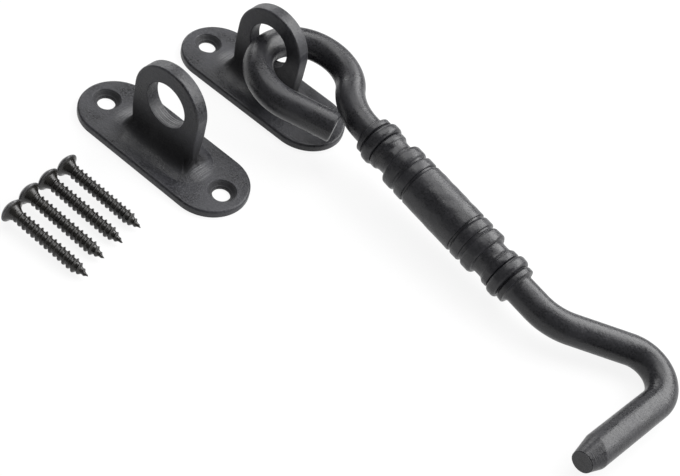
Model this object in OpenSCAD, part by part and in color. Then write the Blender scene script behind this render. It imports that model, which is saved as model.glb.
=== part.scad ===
// Cabin hook: a bent bar hook in a screwed-down eye plate, with a catch plate and four wood screws.
// Millimetres, +Z up. The origin is the middle of the hook plate's underside, and +X runs along both
// plates towards the hook's far end. The set lies loose on a flat surface at z = 0.

/* [Eye plates] */
// Length of a plate from end to end
plate_length = 47; // [44:0.5:60]
// Width of a plate, and diameter of its round ends
plate_width = 18.6; // [16:0.2:24]
// Thickness of a plate
plate_thickness = 1.9; // [1.6:0.1:3]
// Radius on the upper edge of a plate
plate_edge_radius = 0.6; // [0.2:0.1:1]
// Distance between the two screw holes of a plate
screw_hole_spacing = 36; // [34:0.5:38]
// Diameter of a screw hole at the underside
screw_hole_d = 4.1; // [3.6:0.1:5]
// Diameter of a countersink at the upper face
countersink_d = 6.7; // [6.2:0.1:7.2]

/* [Lugs] */
// Width of a lug along the plate, and diameter of its round top
lug_width = 18.8; // [17:0.2:20]
// Thickness of a lug
lug_thickness = 3.5; // [3:0.1:5]
// Radius on the edges of a lug
lug_edge_radius = 0.5; // [0.2:0.1:0.8]
// Diameter of the hole through a lug
lug_hole_d = 11; // [9.6:0.2:12]
// Height of the hole's centre over the underside of the plate
lug_hole_height = 15; // [13:0.5:18]
// Radius of the cast fillet where a lug meets its plate
lug_fillet_radius = 3.4; // [1:0.1:4.4]
// Rounding of the hole's two rims
lug_rim_radius = 0.4; // [0.1:0.1:0.6]
// Height of the domed swell that a lug stands on
swell_height = 1.2; // [0.3:0.1:2]
// How far the swell reaches past a lug's two sides, along the plate
swell_reach_along = 3.7; // [1:0.1:4.5]
// How far the swell reaches past a lug's two faces, across the plate
swell_reach_across = 4.5; // [2:0.1:6]

/* [Hook bar] */
// Diameter of the bar
bar_d = 7.1; // [5.5:0.1:7.6]
// Bend radius of the eye, at the middle of the bar
eye_bend_radius = 11.2; // [10.6:0.1:13]
// How far the eye's centre lies to the prong's side of the shank's axis
eye_offset = 2.8; // [1:0.1:4]
// Direction in which the free end leaves the eye's circle
free_end_angle = 56; // [45:0.2:60]
// Gap between the cut end of the eye and the neck
eye_mouth_gap = 1.2; // [0.3:0.1:2]
// Bevel on the edge of the cut end
free_end_chamfer = 0.3; // [0.1:0.1:0.8]
// Bend radius of the neck between the eye and the shank
neck_bend_radius = 14.9; // [12:0.1:20]
// Straight shank between the neck and the grip's first collar
upper_shank_length = 1; // [0.2:0.1:20]
// Straight shank between the grip's last collar and the first bend
lower_shank_length = 5.1; // [1:0.1:30]
// Radius of the first bend
first_bend_radius = 13.3; // [8:0.1:20]
// Angle through which the first bend turns the bar outwards
first_bend_angle = 38.4; // [20:0.2:50]
// Straight length between the two bends
slant_length = 13.8; // [4:0.2:30]
// Radius of the bend before the prong
prong_bend_radius = 7.6; // [5:0.1:12]
// Length of the prong from its bend to its tip
prong_length = 25.8; // [15:0.2:40]
// Length of the taper at the tip
tip_taper_length = 4.6; // [1:0.1:8]
// How much the taper takes off the bar's radius
tip_taper_depth = 1.1; // [0.2:0.1:1.6]

/* [Turned grip] */
// Length of the plain middle of the grip
barrel_length = 15; // [8:0.5:30]
// Diameter of the plain middle
barrel_d = 11.3; // [10.3:0.1:13]
// Width of the groove between two rings
groove_width = 0.7; // [0.5:0.05:1.2]
// Depth of a groove below the plain middle
groove_depth = 0.45; // [0.2:0.05:0.6]
// Length of the narrow ring beside the plain middle
narrow_ring_length = 2.5; // [1.5:0.1:4]
// Rounding of the narrow ring's two edges
narrow_ring_edge = 0.45; // [0.1:0.05:0.6]
// Length of the wide ring
wide_ring_length = 3.3; // [2:0.1:5]
// Rounding of the wide ring's two edges
wide_ring_edge = 0.8; // [0.1:0.1:0.9]
// Length of the waist
waist_length = 3; // [1.6:0.1:6]
// Diameter of the waist
waist_d = 8.8; // [8.3:0.1:9.3]
// Length of the fillet ring beyond the waist
fillet_ring_length = 1.9; // [1.2:0.1:3]
// Diameter of the fillet ring
fillet_ring_d = 10; // [9.6:0.1:11]
// Rounding of the fillet ring's two edges
fillet_ring_edge = 0.5; // [0.1:0.1:0.5]
// Length of the bead
bead_length = 2.9; // [2:0.1:4]
// Diameter of the bead
bead_d = 11; // [10.1:0.1:12.5]
// Rounding of the bead's two edges
bead_edge = 1; // [0.2:0.1:1]
// Length of the end collar
collar_length = 1.4; // [0.8:0.1:3]
// Diameter of the end collar
collar_d = 9.7; // [9.1:0.1:10.5]
// Rounding of the end collar's inner edge
collar_edge = 0.3; // [0.1:0.1:0.4]
// Length of the cone from the collar down to the bar
collar_cone_length = 0.9; // [0.3:0.1:3]

/* [Wood screws] */
// Length of a screw from the top of its head to its point
screw_length = 23.3; // [14:0.1:35]
// Diameter of a screw's head
screw_head_d = 5.7; // [5:0.1:6.5]
// Height of the raised dome on a head
screw_dome_height = 1.1; // [0.3:0.1:1.4]
// Height of the straight rim of a head
screw_rim_height = 0.45; // [0.2:0.05:0.6]
// Height of the countersunk cone under a head
screw_cone_height = 2.3; // [1.2:0.1:2.6]
// Diameter over the thread
screw_thread_d = 3.2; // [2.6:0.1:3.8]
// Length of the pointed end of a screw
screw_point_length = 3.4; // [2:0.1:6]

/* [Layout] */
// Place of the catch plate beside the hook plate, along X
catch_x = -1; // [-20:0.5:4]
// Distance between the middles of the two plates, across
catch_distance = 33; // [30:0.5:50]
// Direction of the shank, turned towards the catch plate
hook_yaw = 8.4; // [6:0.2:12]
// How far the prong's side of the hook leans up from the surface
hook_lean = 3.2; // [0:0.2:5]
// Gap under the bar where it lies in the lug's hole
bar_seat_gap = 0.35; // [0.3:0.05:0.6]
// How far the bar lies from the middle of the lug's hole, along the plate
bar_seat_shift = 0.6; // [0:0.1:1]
// Distance from the catch plate's edge to the head of the first screw
screws_distance = 9.7; // [1:0.1:30]
// Gap between the heads of neighbouring screws
screws_gap = 0.1; // [0.05:0.05:4]
// Direction of the screws, turned away from the plates' length
screws_yaw = 1.8; // [0:0.2:6]
// Places of the four screws' heads along X
screws_x = [-10.3, -9.8, -9.3, -8];

/* [Hidden] */
$fn = 64;
black_iron = [0.17, 0.17, 0.18];
black_screw = [0.14, 0.13, 0.12];

// Half sizes
bar_r = bar_d / 2;
// A straight stretch is this much thinner in radius than a bend, and its ends reach this far into the bends
straight_step = 0.01;
straight_reach = 0.05;
straight_r = bar_r - straight_step;
lug_hole_r = lug_hole_d / 2;
plate_end_x = (plate_length - plate_width) / 2;
lug_top_r = lug_width / 2;
countersink_depth = (countersink_d - screw_hole_d) / 2;

// The swell's half width, the places of its two round ends, and the radius of its domed top
swell_half_width = lug_thickness / 2 + swell_reach_across;
swell_end_x = lug_width / 2 + swell_reach_along - swell_half_width;
swell_dome_r = (pow(swell_half_width, 2) + pow(swell_height, 2)) / (2 * swell_height);
// Facets of a circle that is larger than the plate is wide
large_circle_facets = 256;

// How far the fillet's circle reaches past the two faces that it joins, so that they cross cleanly
fillet_bite = 0.03;
// How far the solids of one casting reach into each other
overlap = 0.4;
// How far a cutter reaches past the face that it cuts
cut = 1;

// The eye and the neck: two circles that touch from outside, at this angle seen from the eye's centre
neck_x = sqrt(pow(eye_bend_radius + neck_bend_radius, 2) - pow(neck_bend_radius + eye_offset, 2));
touch_angle = atan2(neck_bend_radius + eye_offset, neck_x);
eye_centre = [0, -eye_offset];
neck_centre = [neck_x, neck_bend_radius];

// The free end runs straight from the eye's circle and stops short of the neck
free_end_heading = [sin(free_end_angle), cos(free_end_angle)];
free_end_start = eye_centre + eye_bend_radius * [cos(free_end_angle), -sin(free_end_angle)];
free_end_side = [-free_end_heading.y, free_end_heading.x];
corner_to_neck = neck_centre - free_end_start - bar_r * free_end_side;
corner_along = corner_to_neck * free_end_heading;
corner_clear = neck_bend_radius + bar_r + eye_mouth_gap;
corner_reach = sqrt(pow(corner_along, 2) - corner_to_neck * corner_to_neck + pow(corner_clear, 2));
free_end_length = corner_along - corner_reach;

// The grip's stations, each a distance from the grip's middle
narrow_ring_at = barrel_length / 2 + groove_width;
wide_ring_at = narrow_ring_at + narrow_ring_length + groove_width;
waist_at = wide_ring_at + wide_ring_length;
fillet_ring_at = waist_at + waist_length;
bead_at = fillet_ring_at + fillet_ring_length;
collar_at = bead_at + bead_length + groove_width / 2;
collar_end = collar_at + collar_length;
grip_half = collar_end + collar_cone_length;
grip_x = neck_x + upper_shank_length + grip_half;
groove_r = barrel_d / 2 - groove_depth;

// The bends beyond the grip
first_bend_x = grip_x + grip_half + lower_shank_length;
slant_side = [sin(first_bend_angle), -cos(first_bend_angle)];
slant_start = [first_bend_x, first_bend_radius] + first_bend_radius * slant_side;
slant_end = slant_start + slant_length * [cos(first_bend_angle), sin(first_bend_angle)];
prong_bend_centre = slant_end + prong_bend_radius * slant_side;
prong_start = prong_bend_centre + [prong_bend_radius, 0];

// The bar lies low in the lug's hole, and this line along the hole is the hook's pivot
seat_play = lug_hole_r - bar_r - bar_seat_gap;
pivot_z = lug_hole_height - sqrt(pow(seat_play, 2) - pow(bar_seat_shift, 2));
// The place on the eye that lies in the lug's hole, where the bar runs along the hole
seat_point = eye_centre - eye_bend_radius * [cos(hook_yaw), sin(hook_yaw)];

// The shank dips until the outside of the prong's bend meets the surface, which is found in rounds
first_dip = 4;
dip_rounds = 12;
bend_from_seat = prong_bend_centre - seat_point;
function bend_reach(dip) = prong_bend_radius * sqrt(pow(sin(dip), 2) + pow(sin(hook_lean) * cos(dip), 2));
function lean_drop(dip) = bend_from_seat.y * sin(hook_lean) * cos(dip);
function next_dip(dip) = asin((pivot_z - bar_r - bend_reach(dip) - lean_drop(dip)) / bend_from_seat.x);
function settled_dip(dip, rounds) = rounds < 1 ? dip : settled_dip(next_dip(dip), rounds - 1);
hook_dip = settled_dip(first_dip, dip_rounds);

// Where the row of screws starts, and the distance between two of them
screws_start = catch_distance + plate_width / 2 + screws_distance + screw_head_d / 2;
screws_pitch = screw_head_d + screws_gap;

// A screw lies on its head's rim and on the end of its thread
screw_rim_low = screw_dome_height + screw_rim_height;
screw_point_at = screw_length - screw_point_length;
screw_tilt = atan2(screw_head_d / 2 - screw_thread_d / 2, screw_point_at - screw_rim_low);
screw_head_z = screw_rim_low * sin(screw_tilt) + screw_head_d / 2 * cos(screw_tilt);

// Right half of a plate's cross-section, with its upper corner rounded
module plate_half_section() {
    half_width = plate_width / 2;
    square([half_width, plate_thickness - plate_edge_radius]);
    square([half_width - plate_edge_radius, plate_thickness]);
    translate([half_width - plate_edge_radius, plate_thickness - plate_edge_radius])
        circle(plate_edge_radius);
}

// Right half of the swell's cross-section, which reaches down into the plate
module swell_half_section() {
    intersection() {
        translate([0, plate_thickness + swell_height - swell_dome_r])
            circle(swell_dome_r, $fn = large_circle_facets);
        translate([0, plate_thickness - overlap])
            square([swell_half_width, swell_height + 2 * overlap]);
    }
}

// A long body with two round ends, from the right half of its cross-section
module round_ended(end_x) {
    for (side = [-1, 1])
        translate([side * end_x, 0, 0])
            rotate([0, 0, -90 * side])
                rotate_extrude(angle = 180)
                    children();
    rotate([90, 0, 90])
        linear_extrude(2 * end_x, center = true)
            for (side = [0, 1])
                mirror([side, 0])
                    children();
}

// A lug's outer profile from its middle outwards, with both corners rounded
module lug_half_section() {
    half = lug_thickness / 2;
    translate([0, -half])
        square([lug_top_r - lug_edge_radius, lug_thickness]);
    translate([0, lug_edge_radius - half])
        square([lug_top_r, lug_thickness - 2 * lug_edge_radius]);
    for (side = [-1, 1])
        translate([lug_top_r - lug_edge_radius, side * (half - lug_edge_radius)])
            circle(lug_edge_radius);
}

// A half-round top on straight sides
module lug_blank() {
    translate([0, 0, lug_hole_height])
        rotate([90, 0, 0])
            rotate_extrude(angle = 180)
                lug_half_section();
    translate([0, 0, plate_thickness - overlap])
        linear_extrude(lug_hole_height - plate_thickness + overlap)
            for (side = [0, 1])
                mirror([side, 0])
                    lug_half_section();
}

// Hollow quarter-round between a wall at x = 0 and a floor at y = 0
module fillet_section() {
    middle = lug_fillet_radius - fillet_bite;
    difference() {
        translate([-overlap, -overlap])
            square(middle + overlap);
        translate([middle, middle])
            circle(lug_fillet_radius);
    }
}

// The fillet round the foot of a lug
module lug_foot() {
    straight_x = lug_top_r - lug_edge_radius;
    straight_y = lug_thickness / 2 - lug_edge_radius;
    translate([0, 0, plate_thickness]) {
        for (side = [0, 1])
            mirror([0, side, 0])
                translate([0, lug_thickness / 2, 0])
                    rotate([90, 0, 90])
                        linear_extrude(2 * straight_x, center = true)
                            fillet_section();
        for (side = [0, 1])
            mirror([side, 0, 0])
                translate([lug_top_r, 0, 0])
                    rotate([90, 0, 0])
                        linear_extrude(2 * straight_y, center = true)
                            fillet_section();
        for (side_x = [0, 1], side_y = [0, 1])
            mirror([side_x, 0, 0])
                mirror([0, side_y, 0])
                    translate([straight_x, straight_y, 0])
                        rotate_extrude(angle = 90)
                            intersection() {
                                translate([lug_edge_radius, 0])
                                    fillet_section();
                                translate([0, -overlap])
                                    square(lug_fillet_radius + lug_edge_radius + overlap);
                            }
    }
}

// The cutter of a lug's hole, flared to round its two rims
module lug_hole_cutter() {
    rim_start = lug_thickness / 2 - lug_rim_radius;
    translate([0, 0, lug_hole_height])
        rotate([90, 0, 0]) {
            cylinder(r = lug_hole_r, h = lug_thickness + 2 * cut, center = true);
            for (side = [0, 1])
                mirror([0, 0, side])
                    rotate_extrude()
                        difference() {
                            translate([0, rim_start])
                                square([lug_hole_r + lug_rim_radius, lug_rim_radius + cut]);
                            translate([lug_hole_r + lug_rim_radius, rim_start])
                                circle(lug_rim_radius);
                        }
        }
}

// The cutter of the two countersunk screw holes
module screw_hole_cutters() {
    for (side = [-1, 1])
        translate([side * screw_hole_spacing / 2, 0, 0]) {
            translate([0, 0, -cut])
                cylinder(d = screw_hole_d, h = plate_thickness + 2 * cut);
            translate([0, 0, plate_thickness - countersink_depth])
                cylinder(d1 = screw_hole_d, d2 = countersink_d + 2 * cut, h = countersink_depth + cut);
        }
}

// One casting: plate, swell, lug and foot, with its three holes
module eye_plate() {
    difference() {
        union() {
            round_ended(plate_end_x)
                plate_half_section();
            round_ended(swell_end_x)
                swell_half_section();
            lug_blank();
            lug_foot();
        }
        lug_hole_cutter();
        screw_hole_cutters();
    }
}

module hook_plate() {
    color(black_iron)
        eye_plate();
}

module catch_plate() {
    color(black_iron)
        translate([catch_x, -catch_distance, 0])
            eye_plate();
}

// A bend of the bar round Z, from the X axis on
module bar_bend(bend_radius, angle) {
    rotate_extrude(angle = angle)
        translate([bend_radius, 0])
            circle(bar_r);
}

// The free end of the eye, with its sawn edge broken
module free_end() {
    translate(free_end_start)
        rotate([0, 0, 90 - free_end_angle])
            rotate([0, 90, 0]) {
                translate([0, 0, -straight_reach])
                    cylinder(r = straight_r, h = free_end_length - free_end_chamfer + straight_reach);
                translate([0, 0, free_end_length - free_end_chamfer])
                    cylinder(r1 = straight_r, r2 = straight_r - free_end_chamfer, h = free_end_chamfer);
            }
}

// The eye and the neck, which bend the other way, in a frame with their meeting place on its X axis
module eye_and_neck() {
    translate(eye_centre)
        rotate([0, 0, touch_angle]) {
            bar_bend(eye_bend_radius, 360 - free_end_angle - touch_angle);
            translate([eye_bend_radius + neck_bend_radius, 0, 0])
                rotate([0, 0, 180])
                    bar_bend(neck_bend_radius, 90 - touch_angle);
        }
}

// One raised ring of the grip, in the plane that is turned about the shank
module ring_section(from, length, radius, edge) {
    translate([0, from])
        square([radius - edge, length]);
    translate([0, from + edge])
        square([radius, length - 2 * edge]);
    for (at = [from + edge, from + length - edge])
        translate([radius - edge, at])
            circle(edge);
}

// Half of the grip's profile, from its middle outwards
module grip_half_section() {
    cone_r = collar_d / 2 - collar_edge / 2;
    square([barrel_d / 2, barrel_length / 2]);
    square([groove_r, wide_ring_at + wide_ring_length / 2]);
    ring_section(narrow_ring_at, narrow_ring_length, barrel_d / 2, narrow_ring_edge);
    ring_section(wide_ring_at, wide_ring_length, barrel_d / 2, wide_ring_edge);
    square([waist_d / 2, collar_at + collar_length / 2]);
    ring_section(fillet_ring_at, fillet_ring_length, fillet_ring_d / 2, fillet_ring_edge);
    ring_section(bead_at, bead_length, bead_d / 2, bead_edge);
    ring_section(collar_at, collar_length, collar_d / 2, collar_edge);
    polygon([[0, collar_end - collar_edge], [cone_r, collar_end - collar_edge], [cone_r, collar_end],
        [bar_r, grip_half], [0, grip_half]]);
}

// The shank from the neck to the first bend, turned in one piece with its grip
module shank() {
    translate([grip_x, 0, 0])
        rotate([0, 90, 0])
            rotate_extrude() {
                for (side = [0, 1])
                    mirror([0, side])
                        grip_half_section();
                translate([0, neck_x - straight_reach - grip_x])
                    square([straight_r, first_bend_x - neck_x + 2 * straight_reach]);
            }
}

// The two bends beyond the grip, and the straight between them
module lower_bends() {
    translate([first_bend_x, first_bend_radius, 0])
        rotate([0, 0, -90])
            bar_bend(first_bend_radius, first_bend_angle);
    translate((slant_start + slant_end) / 2)
        rotate([0, 0, first_bend_angle])
            rotate([0, 90, 0])
                cylinder(r = straight_r, h = slant_length + 2 * straight_reach, center = true);
    translate(prong_bend_centre)
        bar_bend(prong_bend_radius, 90 + first_bend_angle);
}

// The prong and its tapered tip
module prong() {
    straight = prong_length - tip_taper_length;
    translate(prong_start)
        rotate([90, 0, 0]) {
            translate([0, 0, -straight_reach])
                cylinder(r = straight_r, h = straight + straight_reach);
            translate([0, 0, straight])
                cylinder(r1 = straight_r, r2 = bar_r - tip_taper_depth, h = tip_taper_length);
        }
}

// The hook flat in its own plane, with the shank along X
module hook_bar() {
    free_end();
    eye_and_neck();
    shank();
    lower_bends();
    prong();
}

module hook() {
    color(black_iron)
        translate([-bar_seat_shift, 0, pivot_z])
            rotate([0, 0, -hook_yaw])
                rotate([0, hook_dip, 0])
                    rotate([-hook_lean, 0, 0])
                        translate(-seat_point)
                            hook_bar();
}

// One screw with its axis along X, from the top of its head to its point
module wood_screw() {
    dome_r = (pow(screw_head_d / 2, 2) + pow(screw_dome_height, 2)) / (2 * screw_dome_height);
    cone_low = screw_rim_low + screw_cone_height;
    rotate([0, 90, 0])
        rotate_extrude() {
            intersection() {
                translate([0, dome_r])
                    circle(dome_r);
                square([screw_head_d / 2, screw_dome_height]);
            }
            translate([0, screw_dome_height])
                square([screw_head_d / 2, screw_rim_height]);
            polygon([[0, screw_rim_low], [screw_head_d / 2, screw_rim_low], [screw_thread_d / 2, cone_low],
                [screw_thread_d / 2, screw_point_at], [0, screw_length]]);
        }
}

module wood_screws() {
    color(black_screw)
        for (i = [0 : len(screws_x) - 1])
            translate([screws_x[i], -screws_start - i * screws_pitch, screw_head_z])
                rotate([0, screw_tilt, screws_yaw])
                    wood_screw();
}

hook_plate();
catch_plate();
hook();
wood_screws();
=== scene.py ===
"""Dresses a packed door hook latch: two cast eye plates, a bent and turned hook, and four wood screws.

Every new piece is a surface worked out with numpy in metres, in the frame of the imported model. The sizes
follow the part's source, apart from a few small edges, fillets and angles that were fitted to the
photograph later. The finish is the black coat on the iron of the real latch.
"""
import math

import bmesh
import bpy
import numpy as np
from mathutils import Matrix, Vector


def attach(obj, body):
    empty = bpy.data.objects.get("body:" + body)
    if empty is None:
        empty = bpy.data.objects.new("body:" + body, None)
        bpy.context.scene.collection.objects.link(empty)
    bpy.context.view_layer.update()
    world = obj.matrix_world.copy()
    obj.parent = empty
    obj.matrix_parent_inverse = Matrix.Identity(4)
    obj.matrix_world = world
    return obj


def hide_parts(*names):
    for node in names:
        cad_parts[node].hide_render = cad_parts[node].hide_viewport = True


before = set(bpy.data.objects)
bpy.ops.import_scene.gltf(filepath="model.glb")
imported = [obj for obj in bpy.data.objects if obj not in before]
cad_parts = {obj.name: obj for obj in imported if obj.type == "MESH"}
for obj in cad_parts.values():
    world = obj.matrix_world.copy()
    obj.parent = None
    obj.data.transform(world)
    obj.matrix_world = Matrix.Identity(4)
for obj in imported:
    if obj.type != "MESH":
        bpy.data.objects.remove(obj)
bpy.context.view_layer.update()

bl_info = {
    "name": "Door Hook Latch",
    "version": (1, 0, 0),
    "blender": (4, 5, 0),
    "location": "3D View > Sidebar > Hook Latch",
    "description": "Casts, turns and coats the pieces of a door hook latch, and sets the stage for it",
    "category": "Add Mesh",
}

MM = 0.001


# Properties

def length(name, description, millimetres, low=0.01):
    """A length in metres, given with its least value in millimetres."""
    return bpy.props.FloatProperty(
        name=name, description=description, default=millimetres * MM, min=low * MM, max=400.0 * MM,
        unit="LENGTH", subtype="DISTANCE", precision=5)


def angle(name, description, degrees):
    """An angle in radians, given in degrees."""
    return bpy.props.FloatProperty(
        name=name, description=description, default=math.radians(degrees), unit="ROTATION", subtype="ANGLE")


def share(name, description, default):
    """A plain number from 0 to 1."""
    return bpy.props.FloatProperty(
        name=name, description=description, default=default, min=0.0, max=1.0, subtype="FACTOR")


def tint(name, description, colour):
    """A colour."""
    return bpy.props.FloatVectorProperty(
        name=name, description=description, default=colour, size=3, min=0.0, max=1.0, subtype="COLOR")


class EyePlateSizes(bpy.types.PropertyGroup):
    """Sizes of the two like castings, each a plate with a lug on it."""

    plate_length: length("Plate length", "Length of a plate from end to end", 47.0)
    plate_width: length("Plate width", "Width of a plate, and diameter of its round ends", 18.6)
    plate_thickness: length("Plate thickness", "Thickness of a plate", 1.9)
    plate_edge: length("Plate edge", "Radius on a plate's upper edge", 0.6)
    plate_underedge: length("Plate underedge", "Radius on a plate's lower edge", 0.2)
    hole_spacing: length("Hole spacing", "Distance between a plate's two screw holes", 36.0)
    hole_diameter: length("Hole diameter", "Diameter of a screw hole", 4.1)
    countersink: length("Countersink", "Diameter of a countersink at the plate's upper face", 6.7)
    countersink_rim: length("Countersink rim", "Rounding of a countersink's rim under the coat", 0.16)
    lug_width: length("Lug width", "Width of a lug, and diameter of its round top", 18.8)
    lug_thickness: length("Lug thickness", "Thickness of a lug", 3.5)
    lug_edge: length("Lug edge", "Radius on a lug's edges", 0.5)
    lug_foot_edge: length("Lug foot edge", "Radius on a lug's edges at its foot", 1.5)
    lug_hole: length("Lug hole", "Diameter of the hole through a lug", 11.0)
    lug_hole_height: length("Lug hole height", "Height of the hole's centre over the underside", 15.0)
    lug_rim: length("Lug rim", "Rounding of the hole's two rims", 0.15)
    foot_fillet: length("Foot fillet", "Radius of the cast fillet before and behind a lug's foot", 3.0)
    side_fillet: length("Side fillet", "Radius of the cast fillet beside a lug's foot", 1.3)
    swell_length: length("Swell length", "Half length of the domed swell that a lug stands on", 13.1)
    swell_width: length("Swell width", "Half width of the swell, and radius of its round ends", 6.25)
    swell_height: length("Swell height", "Height of the swell at its middle", 1.2)
    swell_soft: length("Swell softness", "Height over which the swell's edge blends into the plate", 0.40)
    swell_crisp: length("Swell crispness", "The same height at the swell's right end", 0.07)
    # The next two sizes place painted highlights on the swell beside each end of the lug
    highlight_place: length("Rubbed place", "From the plate's middle to the rubbed place on each side", 11.4)
    highlight_size: length("Rubbed size", "Size of those rubbed places", 2.6)
    # The next two sizes place painted shade, with a rougher coat, in the corner at the lug's foot
    foot_shade_reach: length("Foot reach", "How far up the lug the thick dull coat of its foot reaches", 12.0)
    foot_shade_spread: length("Foot spread", "How far over the plate the thick dull coat of the foot reaches", 3.3)
    unevenness: length("Unevenness", "How far the cast skin sinks below its true shape", 0.05, 0.0)
    catch_x: length("Catch place", "Place of the catch plate beside the hook plate, along X", -1.0, -50.0)
    catch_distance: length("Catch distance", "Distance between the middles of the two plates", 33.0)


class HookSizes(bpy.types.PropertyGroup):
    """Sizes of the bent bar with its turned grip."""

    bar: length("Bar", "Diameter of the bar", 7.1)
    eye_bend: length("Eye bend", "Bend radius of the eye, at the middle of the bar", 11.2)
    eye_offset: length("Eye offset", "How far the eye's centre lies beside the shank's axis", 2.8)
    free_end_angle: angle("Free end", "Direction in which the free end leaves the eye's circle", 62.0)
    eye_mouth: length("Eye mouth", "Gap between the cut end of the eye and the neck", 1.2)
    cut_bevel: length("Cut bevel", "Bevel on the edge of the cut end", 0.3)
    neck_bend: length("Neck bend", "Bend radius of the neck", 14.9)
    upper_shank: length("Upper shank", "Straight shank before the grip", 1.0)
    lower_shank: length("Lower shank", "Straight shank after the grip", 5.1)
    first_bend: length("First bend", "Radius of the first bend after the grip", 13.3)
    first_angle: angle("First angle", "Angle of the first bend", 38.4)
    slant: length("Slant", "Straight length between the two bends", 13.8)
    prong_bend: length("Prong bend", "Radius of the bend before the prong", 7.6)
    prong: length("Prong", "Length of the prong from its bend to its tip", 25.8)
    tip_taper: length("Tip taper", "Length of the taper at the tip", 4.6)
    tip_slant: length("Tip slant", "How much longer the ground taper is on one side than on the mean", 1.1)
    tip_depth: length("Tip depth", "How much the taper takes off the bar's radius", 1.1)
    tip_edge: length("Tip edge", "Rounding of the tip's flat end", 0.2)
    seat_gap: length("Seat gap", "Gap under the bar where it lies in the lug's hole", 0.35)
    seat_shift: length("Seat shift", "How far the bar lies from the hole's middle", 0.6)
    yaw: angle("Yaw", "Direction of the shank, turned towards the catch plate", 8.4)
    lean: angle("Lean", "How far the prong's side leans up from the surface", 3.2)
    unevenness: length("Unevenness", "How far the hand-worked bar sinks below its true shape", 0.04, 0.0)


class GripSizes(bpy.types.PropertyGroup):
    """Sizes of the turned grip in the middle of the hook. Both its halves are alike."""

    barrel_length: length("Barrel length", "Length of the plain middle", 15.0)
    barrel: length("Barrel", "Diameter of the plain middle", 11.3)
    barrel_edge: length("Barrel edge", "Rounding of the barrel's two edges", 0.2)
    groove: length("Groove", "Width of a groove between two rings", 0.7)
    groove_depth: length("Groove depth", "Depth of a groove's edges below the barrel", 0.5)
    groove_hollow: length("Groove hollow", "How much deeper a groove is in its middle", 0.14)
    narrow_ring: length("Narrow ring", "Length of the ring beside the barrel", 2.5)
    narrow_edge: length("Narrow ring edge", "Rounding of the narrow ring's edges", 0.45)
    wide_ring: length("Wide ring", "Length of the wide ring", 3.3)
    wide_edge: length("Wide ring edge", "Rounding of the wide ring's edges", 0.8)
    waist_length: length("Waist length", "Length of the waist", 3.0)
    waist: length("Waist", "Diameter of the waist at its narrowest", 8.8)
    waist_flare: length("Waist flare", "How far the waist widens towards its ends, in radius", 0.35)
    fillet_ring: length("Fillet ring", "Length of the small ring beyond the waist", 1.9)
    fillet_diameter: length("Fillet diameter", "Diameter of the small ring", 10.0)
    fillet_edge: length("Fillet edge", "Rounding of the small ring's edges", 0.5)
    bead_length: length("Bead length", "Length of the bead", 2.9)
    bead: length("Bead", "Diameter of the bead", 11.0)
    bead_edge: length("Bead edge", "Rounding of the bead's edges", 1.0)
    collar_length: length("Collar length", "Length of the end collar", 1.4)
    collar: length("Collar", "Diameter of the end collar", 9.7)
    collar_edge: length("Collar edge", "Rounding of the end collar's edges", 0.3)
    cone: length("Cone", "Length of the hollow cone from the collar down to the bar", 0.9)
    unevenness: length("Unevenness", "How far the hand-turned rings sink below their true shape", 0.16, 0.0)


class ScrewSizes(bpy.types.PropertyGroup):
    """Sizes and places of the four like wood screws."""

    screw_length: length("Length", "Length from the top of the head to the point", 23.3)
    head: length("Head", "Diameter of the head", 5.7)
    dome: length("Dome", "Height of the raised dome on the head", 1.1)
    rim: length("Rim", "Height of the head's round rim", 0.45)
    rim_rounding: length("Rim rounding", "How far the rim's two edges stand back", 0.12)
    cone: length("Cone", "Height of the hollow cone under the head", 1.4)
    cone_start: length("Cone start", "Diameter of the cone where it leaves the head's underside", 4.5)
    ledge: length("Ledge", "Slope of the head's underside outside the cone", 0.22)
    thread: length("Thread", "Diameter over the thread", 3.2)
    core: length("Core", "Diameter of the core between the crests", 2.3)
    pitch: length("Pitch", "Distance from crest to crest", 1.27)
    point: length("Point", "Length of the pointed end", 3.4)
    recess: length("Recess", "Width of the cross recess from end to end", 3.1)
    recess_wing: length("Recess wing", "Width of one wing of the recess", 0.8)
    recess_depth: length("Recess depth", "Depth of the recess at its middle", 1.5)
    distance: length("Distance", "From the catch plate's edge to the first head", 9.7)
    gap: length("Gap", "Gap between neighbouring heads", 0.1)
    yaw: angle("Yaw", "Direction of the screws, turned away from the plates' length", 1.8)
    places: bpy.props.FloatVectorProperty(
        name="Places", description="Places of the four heads along X", size=4, unit="LENGTH",
        default=(-10.3 * MM, -9.8 * MM, -9.3 * MM, -8.0 * MM), precision=5)


class CoatLook(bpy.types.PropertyGroup):
    """Colours and gloss of the black coats."""

    plate_colour: tint("Plate colour", "Black coat on the castings", (0.0198, 0.0200, 0.0235))
    bar_colour: tint("Bar colour", "Black coat on the hook", (0.0170, 0.0170, 0.0195))
    screw_colour: tint("Screw colour", "Oiled black of the screws", (0.013, 0.012, 0.010))
    # Also the colour of the painted highlights in the lug's bore, on the swell and on the screws' rims and
    # crests
    bare_and_highlight_colour: tint("Bare colour", "Coat that is rubbed thin on edges", (0.060, 0.060, 0.062))
    plate_roughness: share("Plate roughness", "Roughness of the castings' coat", 0.40)
    bar_roughness: share("Bar roughness", "Roughness of the hook's coat", 0.33)
    screw_roughness: share("Screw roughness", "Roughness of the screws' coat", 0.28)
    plate_gloss: share("Plate gloss", "Specular level of the castings' coat", 0.38)
    gloss: share("Gloss", "Specular level of the other coats", 0.40)
    grain: length("Grain", "Size of the coat's grain", 0.45)


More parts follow.
